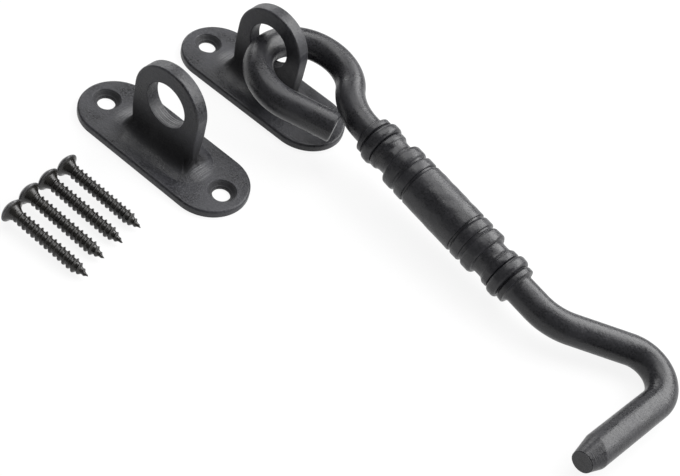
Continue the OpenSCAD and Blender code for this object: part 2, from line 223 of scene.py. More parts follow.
class StageLook(bpy.types.PropertyGroup):
    """Camera, light and floor."""

    lens: bpy.props.FloatProperty(
        name="Lens", description="Focal length of the camera", default=69.75, min=10.0, max=300.0,
        unit="CAMERA")
    distance: length("Distance", "From the camera to the point it looks at", 291.6)
    target_x: length("Target X", "Where the camera looks on the surface, along X", 42.44, -400.0)
    target_y: length("Target Y", "Where the camera looks on the surface, along Y", -21.39, -400.0)
    azimuth: angle("Azimuth", "Direction of looking, turned from the X axis", 114.86)
    elevation: angle("Elevation", "Height of the camera over the surface", 47.5)
    roll: angle("Roll", "Turn of the camera about its line of sight", 19.12)
    floor_colour: tint("Floor colour", "Pale floor", (0.90, 0.90, 0.90))
    key_watts: bpy.props.FloatProperty(
        name="Key", description="Power of the large light behind the latch", default=7.2, min=0.0,
        unit="POWER")
    side_watts: bpy.props.FloatProperty(
        name="Side", description="Power of the light on the right", default=0.95, min=0.0, unit="POWER")
    fill_watts: bpy.props.FloatProperty(
        name="Fill", description="Power of the light low on the left", default=2.0, min=0.0, unit="POWER")
    top_watts: bpy.props.FloatProperty(
        name="Top", description="Power of the light overhead", default=2.1, min=0.0, unit="POWER")
    sky: share("Sky", "Even light from all round", 0.23)


# Surfaces

def ring_rows(inner, outer, steps):
    """Rows of points between two closed curves with equally many points: inner + t (outer - inner)."""
    t = np.linspace(0.0, 1.0, steps + 1)[:, None, None]
    return inner[None] + t * (outer - inner)[None]


def arc(start, end, steps, radius=1.0, endpoint=True):
    """Points (radius cos a, radius sin a) with a going evenly from start to end, in degrees. The last
    point is left out where endpoint is False."""
    a = np.radians(np.linspace(start, end, steps + 1)[: None if endpoint else -1])
    return np.stack([radius * np.cos(a), radius * np.sin(a)], -1)


def line(start, end, steps, endpoint=True):
    """Points that divide the way from start to end evenly: start + t (end - start). The last point is
    left out where endpoint is False."""
    t = np.linspace(0.0, 1.0, steps + 1)[: None if endpoint else -1, None]
    return np.asarray(start, float) + t * (np.asarray(end, float) - np.asarray(start, float))


def lift(flat, height):
    """Points (x, y) in the plane, each with its height as z."""
    return np.concatenate([flat, np.broadcast_to(height, flat.shape[:-1])[..., None]], -1)


def turned(profile, angles, centre=(0.0, 0.0, 0.0), up=2):
    """A profile of (radius, height) carried round an axis through centre, with its points at
    radius (cos a, sin a). up is 2 where the axis runs along Z, and 1 where it runs along Y."""
    rows = np.zeros((len(profile), len(angles), 3))
    rows[..., 0] = profile[:, 0, None] * np.cos(angles)[None]
    rows[..., 3 - up] = profile[:, 0, None] * np.sin(angles)[None]
    rows[..., up] = profile[:, 1, None]
    return rows + np.asarray(centre, float)


def waves(points, seed, wavelength, count=14):
    """A smooth unevenness between 0 and 1: a half plus 0.9 times the mean of plane sine waves, which run
    in random directions and are 0.7 to 1.6 times the wavelength long."""
    draw = np.random.default_rng(seed)
    directions = draw.normal(size=(count, 3))
    directions /= np.linalg.norm(directions, axis=1)[:, None]
    waves_per_metre = 2.0 * math.pi / (wavelength * draw.uniform(0.7, 1.6, count))
    phases = draw.uniform(0.0, 2.0 * math.pi, count)
    total = np.sin(points @ (directions * waves_per_metre[:, None]).T + phases).mean(1)
    return np.clip(0.5 + 0.9 * total, 0.0, 1.0)


def grid_quads(rows, columns, closed, first):
    """Corner numbers of a grid's quads; a closed grid joins its last column to its first."""
    row = np.arange(rows - 1)[:, None] * columns
    column = np.arange(columns if closed else columns - 1)[None]
    beside = (column + 1) % columns
    quads = np.stack([row + column, row + beside, row + columns + beside, row + columns + column], -1)
    return quads.reshape(-1, 4) + first


def build_piece(name, grids, attributes, sharp, merge=1e-6):
    """One closed mesh from several grids, each (points, closed). Points closer than merge become one, so
    that shared borders and poles close, and the faces are turned outwards. attributes maps a name to one
    (rows, columns, 3) array per grid, which is kept at the points. Edges whose faces turn by more than
    sharp degrees stay sharp."""
    points = np.concatenate([grid.reshape(-1, 3) for grid, _ in grids])
    starts = np.cumsum([0] + [grid.shape[0] * grid.shape[1] for grid, _ in grids])
    quads = np.concatenate([
        grid_quads(grid.shape[0], grid.shape[1], closed, start)
        for (grid, closed), start in zip(grids, starts)])
    mesh = bpy.data.meshes.new(name)
    mesh.vertices.add(len(points))
    mesh.vertices.foreach_set("co", points.astype(np.float32).ravel())
    mesh.loops.add(quads.size)
    mesh.loops.foreach_set("vertex_index", quads.astype(np.int32).ravel())
    mesh.polygons.add(len(quads))
    mesh.polygons.foreach_set("loop_start", np.arange(0, quads.size, 4, dtype=np.int32))
    for key, arrays in attributes.items():
        values = np.concatenate([array.reshape(-1, 3) for array in arrays]).astype(np.float32)
        mesh.attributes.new(key, "FLOAT_VECTOR", "POINT").data.foreach_set("vector", values.ravel())
    mesh.update(calc_edges=True)
    work = bmesh.new()
    work.from_mesh(mesh)
    bmesh.ops.remove_doubles(work, verts=work.verts, dist=merge)
    bmesh.ops.recalc_face_normals(work, faces=work.faces)
    open_edges = sum(1 for edge in work.edges if not edge.is_manifold)
    if work.calc_volume() < 0.0:
        bmesh.ops.reverse_faces(work, faces=work.faces)
    work.to_mesh(mesh)
    work.free()
    if open_edges:
        raise RuntimeError(f"{name} has {open_edges} edges that aren't closed")
    mesh.polygons.foreach_set("use_smooth", np.ones(len(mesh.polygons), bool))
    mesh.set_sharp_from_angle(angle=math.radians(sharp))
    piece = bpy.data.objects.new(name, mesh)
    bpy.context.scene.collection.objects.link(piece)
    return piece


def sink_skin(piece, depth, seed, wavelength, keep=None):
    """Moves the surface inwards along its normals by depth times a smooth unevenness from 0.3 to 1. keep
    maps points and normals to True where the surface stays."""
    mesh = piece.data
    points = np.zeros(len(mesh.vertices) * 3, np.float32)
    normals = np.zeros(len(mesh.vertices) * 3, np.float32)
    mesh.vertices.foreach_get("co", points)
    mesh.vertex_normals.foreach_get("vector", normals)
    points, normals = points.reshape(-1, 3).astype(float), normals.reshape(-1, 3).astype(float)
    sink = depth * (0.3 + 0.7 * waves(points, seed, wavelength))
    if keep is not None:
        sink *= 1.0 - keep(points, normals)
    points -= normals * sink[:, None]
    mesh.vertices.foreach_set("co", points.astype(np.float32).ravel())
    mesh.update()


# Eye plates

# Steps along a lug's or plate's long side, across its end, and round one corner of a lug's section
ALONG = 72
ACROSS = 48
CORNER = 12
# Steps up a lug's straight side, and over its round top
SIDE_STEPS = 24
TOP_STEPS = 72
# Rows down the fillet at a lug's foot, and from there to the swell's edge and on to the plate's edge
FILLET_ROWS = 15
TOP_ROWS = 7
# Share of the straight side up to which the wide edge of the foot reaches, and the power by which it ends
FOOT_EDGE_CLIMB = 0.6
FOOT_EDGE_POWER = 1.5
# Zone at a lug's end where the side fillet takes over, as a share of the foot's edge radius
END_SHARE = 1.2
# Where along X the swell's edge starts to turn from soft to crisp, and over which length
CRISP_START = 3.0 * MM
CRISP_LENGTH = 6.0 * MM
# Distance between the rows on both sides of the swell's edge and that edge
SWELL_BAND = 0.15 * MM
# Broken lower edge of a screw hole: distances from its wall, and heights
LOWER_EDGE = np.array([[0.12, 0.0], [0.03, 0.04], [0.0, 0.14]]) * MM
# Size of the waves in the cast skin, and the height under which a plate's underside stays flat
CAST_WAVES = 7.0 * MM
FLAT_UNDERSIDE = 0.3 * MM


def lug_outline(sizes, edge):
    """Closed curve round a lug's section, whose edges are quarter circles of one radius, from its front
    right corner: right end, back, left end, front."""
    half_x, half_y = sizes.lug_width / 2, sizes.lug_thickness / 2
    right = np.concatenate([
        arc(-90, 0, CORNER, edge, False) + [half_x - edge, edge - half_y],
        line((half_x, edge - half_y), (half_x, half_y - edge), ACROSS - 2 * CORNER, False),
        arc(0, 90, CORNER, edge, False) + [half_x - edge, half_y - edge]])
    back = line((half_x - edge, half_y), (edge - half_x, half_y), ALONG, False)
    return np.concatenate([right, back, -right, -back])


def rectangle_outline(half_x, half_y):
    """Closed curve round a rectangle, with its points in the order of lug_outline."""
    right = line((half_x, -half_y), (half_x, half_y), ACROSS, False)
    back = line((half_x, half_y), (-half_x, half_y), ALONG, False)
    return np.concatenate([right, back, -right, -back])


def swell_heights(sizes, points):
    """Height of the domed swell over the plate's top. At the distance d from the line between the centres
    of its round ends the cap is c = sqrt(R^2 - d^2) - (R - h), of radius R and height h. Where c lies
    between -k and k the height is (c + k)^2 / 4k, so that the swell runs out softly. Along X, k goes from
    soft to crisp by the smooth step 3 t^2 - 2 t^3."""
    width, height = sizes.swell_width, sizes.swell_height
    radius = (width ** 2 + height ** 2) / (2.0 * height)
    core = sizes.swell_length - width
    d = np.hypot(np.maximum(np.abs(points[..., 0]) - core, 0.0), points[..., 1])
    cap = np.sqrt(np.maximum(radius ** 2 - d ** 2, 0.0)) - (radius - height)
    t = np.clip((points[..., 0] - CRISP_START) / CRISP_LENGTH, 0.0, 1.0)
    k = sizes.swell_soft + (sizes.swell_crisp - sizes.swell_soft) * t * t * (3.0 - 2.0 * t)
    blend = (np.clip(cap, -k, k) + k) ** 2 / (4.0 * k)
    return np.where(cap > k, cap, blend)


def swell_edge(sizes, inner, way):
    """The share s of each way out from the lug at which it crosses the swell's edge: the straight edge at
    y = width, or the circle round the centre of an end, where that crossing lies beyond the centre. On the
    circle s is the greater solution of a s^2 + b s + c = 0."""
    core, width = sizes.swell_length - sizes.swell_width, sizes.swell_width
    straight = (width - np.abs(inner[:, 1])) / np.maximum(np.abs(way[:, 1]), 1e-9)
    centre = np.stack([np.sign(inner[:, 0]) * core, 0.0 * inner[:, 0]], -1)
    seen = inner - centre
    a, b, c = (way ** 2).sum(1), 2.0 * (way * seen).sum(1), (seen ** 2).sum(1) - width ** 2
    round_end = (-b + np.sqrt(np.maximum(b * b - 4.0 * a * c, 0.0))) / (2.0 * a)
    beyond = np.abs(inner[:, 0] + straight * way[:, 0]) > core
    return np.where(beyond, round_end, straight)


def foot_rows(sizes, half_x, half_y):
    """The plate's top round the lug, in rows at a growing distance d from the lug. The height is the
    plate's top, plus the swell, plus the hollow quarter-round r (1 - sin a) at d = r (1 - cos a) next to
    the lug, whose radius r is smaller beside the lug than before and behind it."""
    inner, outer = lug_outline(sizes, sizes.lug_foot_edge), rectangle_outline(half_x, half_y)
    way = outer - inner
    reach = np.linalg.norm(way, axis=1)
    edge = swell_edge(sizes, inner, way) * reach
    at_end = np.abs(inner[:, 0]) > sizes.lug_width / 2 - END_SHARE * sizes.lug_foot_edge
    sideways = (way[:, 0] / reach) ** 2 * at_end
    fillet = sizes.foot_fillet + (sizes.side_fillet - sizes.foot_fillet) * sideways
    turn = np.radians(np.linspace(0.0, 90.0, FILLET_ROWS))[:, None]
    beyond = np.linspace(0.0, 1.0, TOP_ROWS + 1)[1:, None]
    before_edge, after_edge = edge - SWELL_BAND, edge + SWELL_BAND
    distance = np.concatenate([
        fillet * (1.0 - np.cos(turn)), fillet + beyond * (before_edge - fillet), [edge, after_edge],
        after_edge + beyond * (reach - after_edge)])
    hollow = np.zeros(distance.shape)
    hollow[:FILLET_ROWS] = fillet * (1.0 - np.sin(turn))
    flat = inner[None] + (distance / reach)[..., None] * way[None]
    return lift(flat, sizes.plate_thickness + swell_heights(sizes, flat) + hollow)


def lug_band(sizes, foot):
    """The lug's rounded edge section carried up the right side, over the round top and down the left
    side. foot holds the heights at which the section starts, one for each point across the lug. On the
    lower part of the straight side the section goes from the foot's wide edge to the small one, by a power
    of what is left of that part."""
    height = sizes.lug_hole_height
    section = lug_outline(sizes, sizes.lug_edge)[: ACROSS + 1]
    wider = lug_outline(sizes, sizes.lug_foot_edge)[: ACROSS + 1] - section
    climb = np.linspace(0.0, 1.0, SIDE_STEPS + 1)[:-1, None]
    growth = np.clip(1.0 - climb / FOOT_EDGE_CLIMB, 0.0, 1.0) ** FOOT_EDGE_POWER
    side_x, side_y = (section[:, i] + growth * wider[:, i] for i in (0, 1))
    side_z = foot + climb * (height - foot)
    turn = np.radians(np.linspace(0.0, 180.0, TOP_STEPS + 1))[:, None]
    x = np.concatenate([side_x, section[:, 0] * np.cos(turn), -side_x[::-1]])
    y = np.concatenate([side_y, np.broadcast_to(section[:, 1], (len(turn), len(section))), side_y[::-1]])
    z = np.concatenate([side_z, height + section[:, 0] * np.sin(turn), side_z[::-1]])
    return np.stack([x, y, z], -1)


def lug_faces(sizes, band, foot_line):
    """Front face, back face and bore. A face's rows run straight from the hole's rim to the lug's outline,
    and the bore is a straight wall between two rims rounded to quarter circles."""
    half_y, rim, radius = sizes.lug_thickness / 2, sizes.lug_rim, sizes.lug_hole / 2
    outline = np.concatenate([foot_line[:-1], band[:-1, 0]])
    middle = np.array([0.0, -half_y, sizes.lug_hole_height])
    seen = outline - middle
    angles = np.arctan2(seen[:, 2], seen[:, 0])
    circle = middle + (radius + rim) * np.stack([np.cos(angles), 0 * angles, np.sin(angles)], -1)
    front = ring_rows(circle, outline, 10)
    half = arc(90, 0, 8, rim) * [-1, 1] + [radius + rim, half_y - rim]
    profile = np.concatenate([half, line(half[-1], half[-1] * [1, -1], 8)[1:-1], half[::-1] * [1, -1]])
    bore = turned(profile, angles, (0.0, 0.0, sizes.lug_hole_height), up=1)
    return [(front, True), (front * [1, -1, 1], True), (bore, True)]


# How thin the coat is in the countersinks, how far that thinning ends inside the rim, and how much painted
# shade they get, with a rougher coat
CONE_WEAR = 0.22
CONE_MARGIN = 0.1 * MM
CONE_SHADE_AND_DULLNESS = 0.5
# Strength of the painted highlights on the swell beside the lug, and the share of their size that is evenly
# lit
SWELL_HIGHLIGHT = 0.32
SWELL_HIGHLIGHT_CORE = 0.3
# Weights of the directions right and down in a bore, and the sum past which its coat grows lighter: thinned
# where the hook rests, and painted highlight where the light falls
BORE_RIGHT = 0.45
BORE_DOWN = 2.0
BORE_START = 1.2
# How much faster the painted shade and rougher coat of the foot end beyond the lug's ends than before and
# behind it
END_FADE = 3.0
# How close the streaks in the light coat lie in a countersink and on the plate, against those in the bore
CONE_STREAKS = 1.5
PLATE_STREAKS = 0.7


def plate_wear_and_painted_light(sizes, points):
    """Three marks at each point. x is how light the coat is, from 0 to 1: most at the bottom of the lug's
    bore, where the coat is thinned and painted highlight is added, less in the countersinks, where it is
    thinned, and on the swell beside the lug, where it is painted highlight. y is the distance across the
    streaks in the light coat. z is painted shade with a rougher coat: most at the lug's foot, from where it
    falls away evenly over the plate and up the lug, and half as much in the countersinks."""
    x, y, z = points[..., 0], points[..., 1], points[..., 2] - sizes.lug_hole_height
    from_hole = np.hypot(x, z)
    # Lighter coat at the bottom and right of the bore: thinned where the hook rests, and painted highlight
    # where the light falls
    in_bore = np.clip((sizes.lug_hole / 2 + sizes.lug_rim - from_hole) / sizes.lug_rim, 0.0, 1.0)
    in_bore = in_bore * np.clip((BORE_RIGHT * x - BORE_DOWN * z) / from_hole - BORE_START, 0.0, 1.0)
    on_top = points[..., 2] > sizes.plate_thickness / 2
    from_screw = np.hypot(np.abs(x) - sizes.hole_spacing / 2, y)
    in_cone = from_screw < sizes.countersink / 2 - CONE_MARGIN
    beside = np.hypot(np.abs(x) - sizes.highlight_place, y)
    # Painted highlights on the top of the swell beside each end of the lug
    highlit = SWELL_HIGHLIGHT * np.clip(1.0 + SWELL_HIGHLIGHT_CORE - beside / sizes.highlight_size, 0.0, 1.0) * on_top
    climb = np.clip((points[..., 2] - sizes.plate_thickness) / sizes.foot_shade_reach, 0.0, 1.0)
    away = np.hypot(END_FADE * np.maximum(np.abs(x) - sizes.lug_width / 2, 0.0),
                    np.maximum(np.abs(y) - sizes.lug_thickness / 2, 0.0))
    # Painted shade, with a rougher coat, in the corner at the lug's foot, fading over the plate and up the
    # lug
    near_foot = np.clip(1.0 - away / sizes.foot_shade_spread, 0.0, 1.0) * (1.0 - climb) * on_top
    bare_and_highlit = np.maximum(np.maximum(in_bore, highlit), CONE_WEAR * in_cone)
    across = np.where(in_bore > 0.0, y, np.where(in_cone, CONE_STREAKS * from_screw, PLATE_STREAKS * x))
    return np.stack([bare_and_highlit, across, np.maximum(near_foot, CONE_SHADE_AND_DULLNESS * in_cone)], -1)


def plate_side(sizes):
    """The plate's side, a profile of lower rounding, straight wall and upper rounding carried round the
    stadium of two half circles and two straights."""
    radius, half = sizes.plate_width / 2, (sizes.plate_length - sizes.plate_width) / 2
    low, high = sizes.plate_underedge, sizes.plate_edge
    lower = arc(-90, 0, 4, low) + [radius - low, low]
    upper = arc(0, 90, 8, high) + [radius - high, sizes.plate_thickness - high]
    profile = np.concatenate([lower, line(lower[-1], upper[0], 3)[1:-1], upper])
    turn = np.radians(np.linspace(-90.0, 90.0, ALONG + 1))[:-1]
    ends = profile[:, 0, None, None] * np.stack([np.cos(turn), np.sin(turn)], -1)[None]
    straight = np.linspace(half, -half, ALONG + 1)[:-1]
    sides = np.stack(np.broadcast_arrays(straight[None], profile[:, 0, None]), -1)
    flat = np.concatenate([ends + [half, 0], sides, -ends - [half, 0], -sides], 1)
    return lift(flat, profile[:, 1, None])


def end_outline(half, radius):
    """Closed curve round one end of a plate: its half circle, and the line where the end begins."""
    return np.concatenate([arc(-90, 90, ALONG, radius, False) + [half, 0],
                           line((half, radius), (half, -radius), ACROSS, False)])


def plate_end(sizes, profile, edge_radius, height, steps):
    """One end of a plate round its screw hole: flat rows from the hole's last radius to the end's outline,
    and the hole's profile of (radius, height) carried round."""
    half = (sizes.plate_length - sizes.plate_width) / 2
    hole = np.array([sizes.hole_spacing / 2, 0.0])
    edge = end_outline(half, edge_radius)
    seen = end_outline(half, sizes.plate_width / 2) - hole
    angles = np.arctan2(seen[:, 1], seen[:, 0])
    inner = hole + profile[-1, 0] * np.stack([np.cos(angles), np.sin(angles)], -1)
    return lift(ring_rows(inner, edge, steps), height), turned(profile, angles, (hole[0], hole[1], 0.0))


def screw_hole_profile(sizes):
    """Radius and height from the underside up: broken lower edge, wall, cone at 45 degrees, round rim."""
    wall, top, rim = sizes.hole_diameter / 2, sizes.plate_thickness, sizes.countersink_rim
    cone = sizes.countersink / 2
    rounding = arc(135, 90, 6, rim) + [cone + rim * math.tan(math.radians(22.5)), top - rim]
    foot = LOWER_EDGE + [wall, 0.0]
    knee = np.array([wall, top - (cone - wall)])
    return np.concatenate([foot, line(foot[-1], knee, 3)[1:], line(knee, rounding[0], 6)[1:], rounding[1:]])


def flat_underside(points, normals):
    """True where a point lies on a plate's underside, which stays flat."""
    return (normals[:, 2] < -0.5) & (points[:, 2] < FLAT_UNDERSIDE)


def eye_plate(name, sizes, seed, place):
    """One casting from grids with shared borders, with a slightly uneven cast skin, at its place. Each
    end of the plate is made on the right and mirrored to the left."""
    half = (sizes.plate_length - sizes.plate_width) / 2
    top_y = sizes.plate_width / 2 - sizes.plate_edge
    under_y = sizes.plate_width / 2 - sizes.plate_underedge
    foot = foot_rows(sizes, half, top_y)
    band = lug_band(sizes, foot[0, : ACROSS + 1, 2])
    front = ACROSS * 2 + ALONG
    foot_line = np.concatenate([foot[0, front:], foot[0, :1]])
    profile = screw_hole_profile(sizes)
    top_end, hole = plate_end(sizes, profile, top_y, sizes.plate_thickness, 6)
    under_end, _ = plate_end(sizes, profile[:1], under_y, 0.0, 5)
    under = np.stack(np.meshgrid(np.linspace(half, -half, ALONG + 1),
                                 np.linspace(under_y, -under_y, ACROSS + 1), indexing="ij"), -1)
    grids = [(foot, True), (band, False), (plate_side(sizes), True), (lift(under, 0.0), False)]
    grids += lug_faces(sizes, band, foot_line)
    for end in (top_end, hole, under_end):
        grids += [(end, True), (end * [-1, 1, 1], True)]
    piece = build_piece(name, grids, sharp=50.0,
                        attributes={"wear": [plate_wear_and_painted_light(sizes, grid) for grid, _ in grids]})
    sink_skin(piece, sizes.unevenness, seed, CAST_WAVES, keep=flat_underside)
    piece.data.transform(Matrix.Translation(place))
    return piece


# Materials

class Nodes:
    """Short names for making and joining shader nodes in one material."""

    def __init__(self, name):
        self.material = bpy.data.materials.new(name)
        self.material.use_nodes = True
        self.tree = self.material.node_tree
        self.shader = self.tree.nodes["Principled BSDF"]

    def add(self, kind, inputs=None, **settings):
        """A new node with its settings, and its inputs set to values or joined to other nodes' outputs."""
        node = self.tree.nodes.new(kind)
        for key, value in settings.items():
            setattr(node, key, value)
        for key, value in (inputs or {}).items():
            self.put(node.inputs[key], value)
        return node

    def put(self, socket, value):
        """Sets a socket to a value, or joins it to an output."""
        if isinstance(value, bpy.types.NodeSocket):
            self.tree.links.new(value, socket)
        else:
            socket.default_value = value

    def noise(self, place, size, detail, roughness=0.55):
        """Noise whose blotches are about size metres across."""
        node = self.add("ShaderNodeTexNoise", {"Vector": place, "Scale": 1.0 / size, "Detail": detail,
                                               "Roughness": roughness})
        return node.outputs["Fac"]

    def ramp(self, value, low, high, to_low=0.0, to_high=1.0):
        """A value carried from low..high to to_low..to_high by a smooth step, and held at the ends."""
        node = self.add("ShaderNodeMapRange", {0: value, 1: low, 2: high, 3: to_low, 4: to_high},
                        clamp=True, interpolation_type="SMOOTHSTEP")
        return node.outputs[0]

    def mix(self, factor, first, second):
        """A colour between first and second."""
        node = self.add("ShaderNodeMix", data_type="RGBA")
        self.put(node.inputs[0], factor)
        self.put(node.inputs[6], first)
        self.put(node.inputs[7], second)
        return node.outputs[2]

    def stretch(self, place, scale):
        """Coordinates scaled along each axis, so that a pattern on them is long where its scale is small."""
        return self.add("ShaderNodeMapping", {"Vector": place, "Scale": scale}).outputs[0]

    def maths(self, operation, first, second):
        """A sum, product or other operation on two numbers."""
        return self.add("ShaderNodeMath", {0: first, 1: second}, operation=operation).outputs[0]

    def bump(self, height, distance, strength=1.0, below=None):
        """Fine relief of height times distance, on top of the relief below."""
        node = self.add("ShaderNodeBump", {"Height": height, "Distance": distance, "Strength": strength})
        if below is not None:
            self.put(node.inputs["Normal"], below)
        return node.outputs["Normal"]


def colour(value, gain=1.0):
    """A property's colour as four numbers, made lighter or darker by gain."""
    return tuple(min(1.0, channel * gain) for channel in value) + (1.0,)


def plate_coat(look):
    """Satin black coat on cast iron: cloudy colour, fine cast grain, and faint file marks and scratches
    along the plate. A point attribute holds how light the coat is, thinned and with painted highlights, the
    distance across its streaks, and the painted shade, with a rougher coat, at the lug's foot and in the
    countersinks."""
    n = Nodes("plate_coat")
    place = n.add("ShaderNodeTexCoord").outputs["Object"]
    clouds = n.noise(place, size=6.0 * MM, detail=4.0)
    grain = n.noise(place, size=look.grain, detail=4.0, roughness=0.6)
    lengthwise = n.stretch(place, (0.12, 1.0, 1.0))
    file_marks = n.noise(lengthwise, size=0.5 * MM, detail=2.0)
    scratches = n.ramp(n.noise(lengthwise, size=0.28 * MM, detail=3.0, roughness=0.7), 0.56, 0.68)
    tone = n.mix(n.ramp(clouds, 0.3, 0.7), colour(look.plate_colour, 0.6), colour(look.plate_colour, 1.4))
    tone = n.mix(n.maths("MULTIPLY", n.ramp(grain, 0.45, 0.7), 0.7), tone, colour(look.plate_colour, 2.2))
    tone = n.mix(n.maths("MULTIPLY", scratches, 0.5), tone, colour(look.plate_colour, 0.3))
    wear = n.add("ShaderNodeAttribute", attribute_name="wear").outputs["Vector"]
    wear = n.add("ShaderNodeSeparateXYZ", {"Vector": wear}).outputs
    across = n.add("ShaderNodeCombineXYZ", {"X": wear[1]}).outputs[0]
    streaks = n.noise(across, size=0.26 * MM, detail=2.0)
    # Light coat where it is thinned, and painted highlights in the bore and on the swell, in streaks
    bare_and_highlit = n.maths("MULTIPLY", wear[0], n.ramp(streaks, 0.46, 0.56))
    # Painted shade at the lug's foot and, half as strong, in the countersinks: darker colour, and a rougher
    # coat
    shade_and_dullness = n.maths("MULTIPLY", n.ramp(wear[2], 0.0, 0.8), n.ramp(clouds, 0.2, 0.5, 0.7, 1.0))
    tone = n.mix(shade_and_dullness, tone, colour(look.plate_colour, 0.35))
    n.put(n.shader.inputs["Base Color"], n.mix(bare_and_highlit, tone, colour(look.bare_and_highlight_colour, 2.6)))
    rough = n.maths("ADD", n.ramp(clouds, 0.3, 0.7, look.plate_roughness - 0.09, look.plate_roughness + 0.09),
                    n.ramp(grain, 0.3, 0.7, -0.08, 0.10))
    rough = n.maths("ADD", rough, n.maths("MULTIPLY", shade_and_dullness, 0.4))
    n.put(n.shader.inputs["Roughness"], rough)
    n.put(n.shader.inputs["Specular IOR Level"], look.plate_gloss)
    lumps = n.bump(n.noise(place, size=2.2 * MM, detail=2.0), 0.10 * MM)
    fine = n.bump(grain, 0.06 * MM, below=lumps)
    n.put(n.shader.inputs["Normal"], n.bump(file_marks, 0.035 * MM, strength=0.8, below=fine))
    return n.material


def bar_coat(look, neck_start, prong_start):
    """Satin black coat on drawn bar: cloudy colour, fine grain, a mottle that is weak on the eye, faint
    draw marks along the unbent bar, and hammer marks across it, which are strongest on the prong. The
    unbent attribute holds each point's place on the bar before it was bent."""
    n = Nodes("bar_coat")
    unbent = n.add("ShaderNodeAttribute", attribute_name="unbent").outputs["Vector"]
    place = n.add("ShaderNodeTexCoord").outputs["Object"]
    clouds = n.noise(place, size=5.0 * MM, detail=4.0)
    grain = n.noise(place, size=look.grain, detail=4.0, roughness=0.65)
    mottle = n.noise(place, size=1.1 * MM, detail=3.0, roughness=0.6)
    draw_marks = n.noise(n.stretch(unbent, (0.1, 1.0, 1.0)), size=0.45 * MM, detail=2.0)
    hammer_marks = n.noise(n.stretch(unbent, (1.0, 0.2, 0.2)), size=0.6 * MM, detail=3.0, roughness=0.65)
    tone = n.mix(n.ramp(clouds, 0.3, 0.7), colour(look.bar_colour, 0.75), colour(look.bar_colour, 1.25))
    tone = n.mix(n.maths("MULTIPLY", n.ramp(grain, 0.45, 0.7), 0.6), tone, colour(look.bar_colour, 2.0))
    n.put(n.shader.inputs["Base Color"], tone)
    rough = n.maths("ADD", n.ramp(clouds, 0.3, 0.7, look.bar_roughness - 0.05, look.bar_roughness + 0.05),
                    n.ramp(grain, 0.3, 0.7, -0.09, 0.10))
    n.put(n.shader.inputs["Roughness"], rough)
    n.put(n.shader.inputs["Specular IOR Level"], look.gloss)
    along = n.add("ShaderNodeSeparateXYZ", {"Vector": unbent}).outputs[0]
    on_prong = n.ramp(along, prong_start - 10.0 * MM, prong_start + 4.0 * MM, 0.25, 1.0)
    past_eye = n.ramp(along, neck_start, neck_start + 15.0 * MM, 0.35, 1.0)
    hammered = n.bump(n.maths("MULTIPLY", hammer_marks, on_prong), 0.09 * MM)
    grained = n.bump(grain, 0.03 * MM, below=hammered)
    mottled = n.bump(n.maths("MULTIPLY", mottle, past_eye), 0.07 * MM, strength=0.8, below=grained)
    n.put(n.shader.inputs["Normal"], n.bump(draw_marks, 0.02 * MM, strength=0.8, below=mottled))
    return n.material


def screw_coat(look):
    """Oiled black on screw steel: darker, browner and glossier than the coats on the latch, and lighter on
    the head's rim and the thread's crests, as a point attribute says: the coat is thinned there and
    highlights are painted."""
    n = Nodes("screw_coat")
    place = n.add("ShaderNodeTexCoord").outputs["Object"]
    clouds = n.noise(place, size=1.6 * MM, detail=4.0)
    tone = n.mix(n.ramp(clouds, 0.35, 0.7), colour(look.screw_colour, 0.5), colour(look.screw_colour, 1.3))
    wear = n.add("ShaderNodeAttribute", attribute_name="wear").outputs["Fac"]
    # Lighter rim and crests: thinned coat and painted highlight
    bare_and_highlit = n.maths("MULTIPLY", n.ramp(wear, 0.35, 0.95), n.ramp(clouds, 0.35, 0.6, 0.3, 1.0))
    n.put(n.shader.inputs["Base Color"], n.mix(bare_and_highlit, tone, colour(look.bare_and_highlight_colour, 1.3)))
    n.put(n.shader.inputs["Roughness"],
          n.ramp(clouds, 0.3, 0.7, look.screw_roughness - 0.08, look.screw_roughness + 0.06))
    n.put(n.shader.inputs["Specular IOR Level"], 0.5)
    n.put(n.shader.inputs["Normal"], n.bump(n.noise(place, size=0.25 * MM, detail=3.0), 0.02 * MM))
    return n.material


# Hook

# The stretches of the bar's middle line, in order from the cut end of the eye
FREE_END, EYE, NECK, SHANK, FIRST_BEND, SLANT, PRONG_BEND, PRONG = range(8)
# Points round the bar, and rows along half the barrel, the shank on both sides of the grip, the tip's taper
# and the waist
AROUND = 88
BARREL_ROWS = 20
UPPER_ROWS = 190
LOWER_ROWS = 165
TAPER_ROWS = 30
WAIST_ROWS = 13
# Share of the radius at which the cut end and the flat tip have a ring of points
CUT_RING = 0.5
TIP_RING = 0.6
# First guess of the angle at which the shank dips, and the rounds in which it is found
FIRST_DIP = math.radians(4.0)
DIP_ROUNDS = 12
# Size, seed and number of the waves in the turned grip, and the length over which they fade at its ends
GRIP_WAVES = 2.6 * MM
GRIP_SEED = 4
GRIP_WAVE_COUNT = 24
GRIP_FADE = 2.0 * MM
# Size and seed of the waves in the whole bar
BAR_WAVES = 9.0 * MM
BAR_SEED = 21


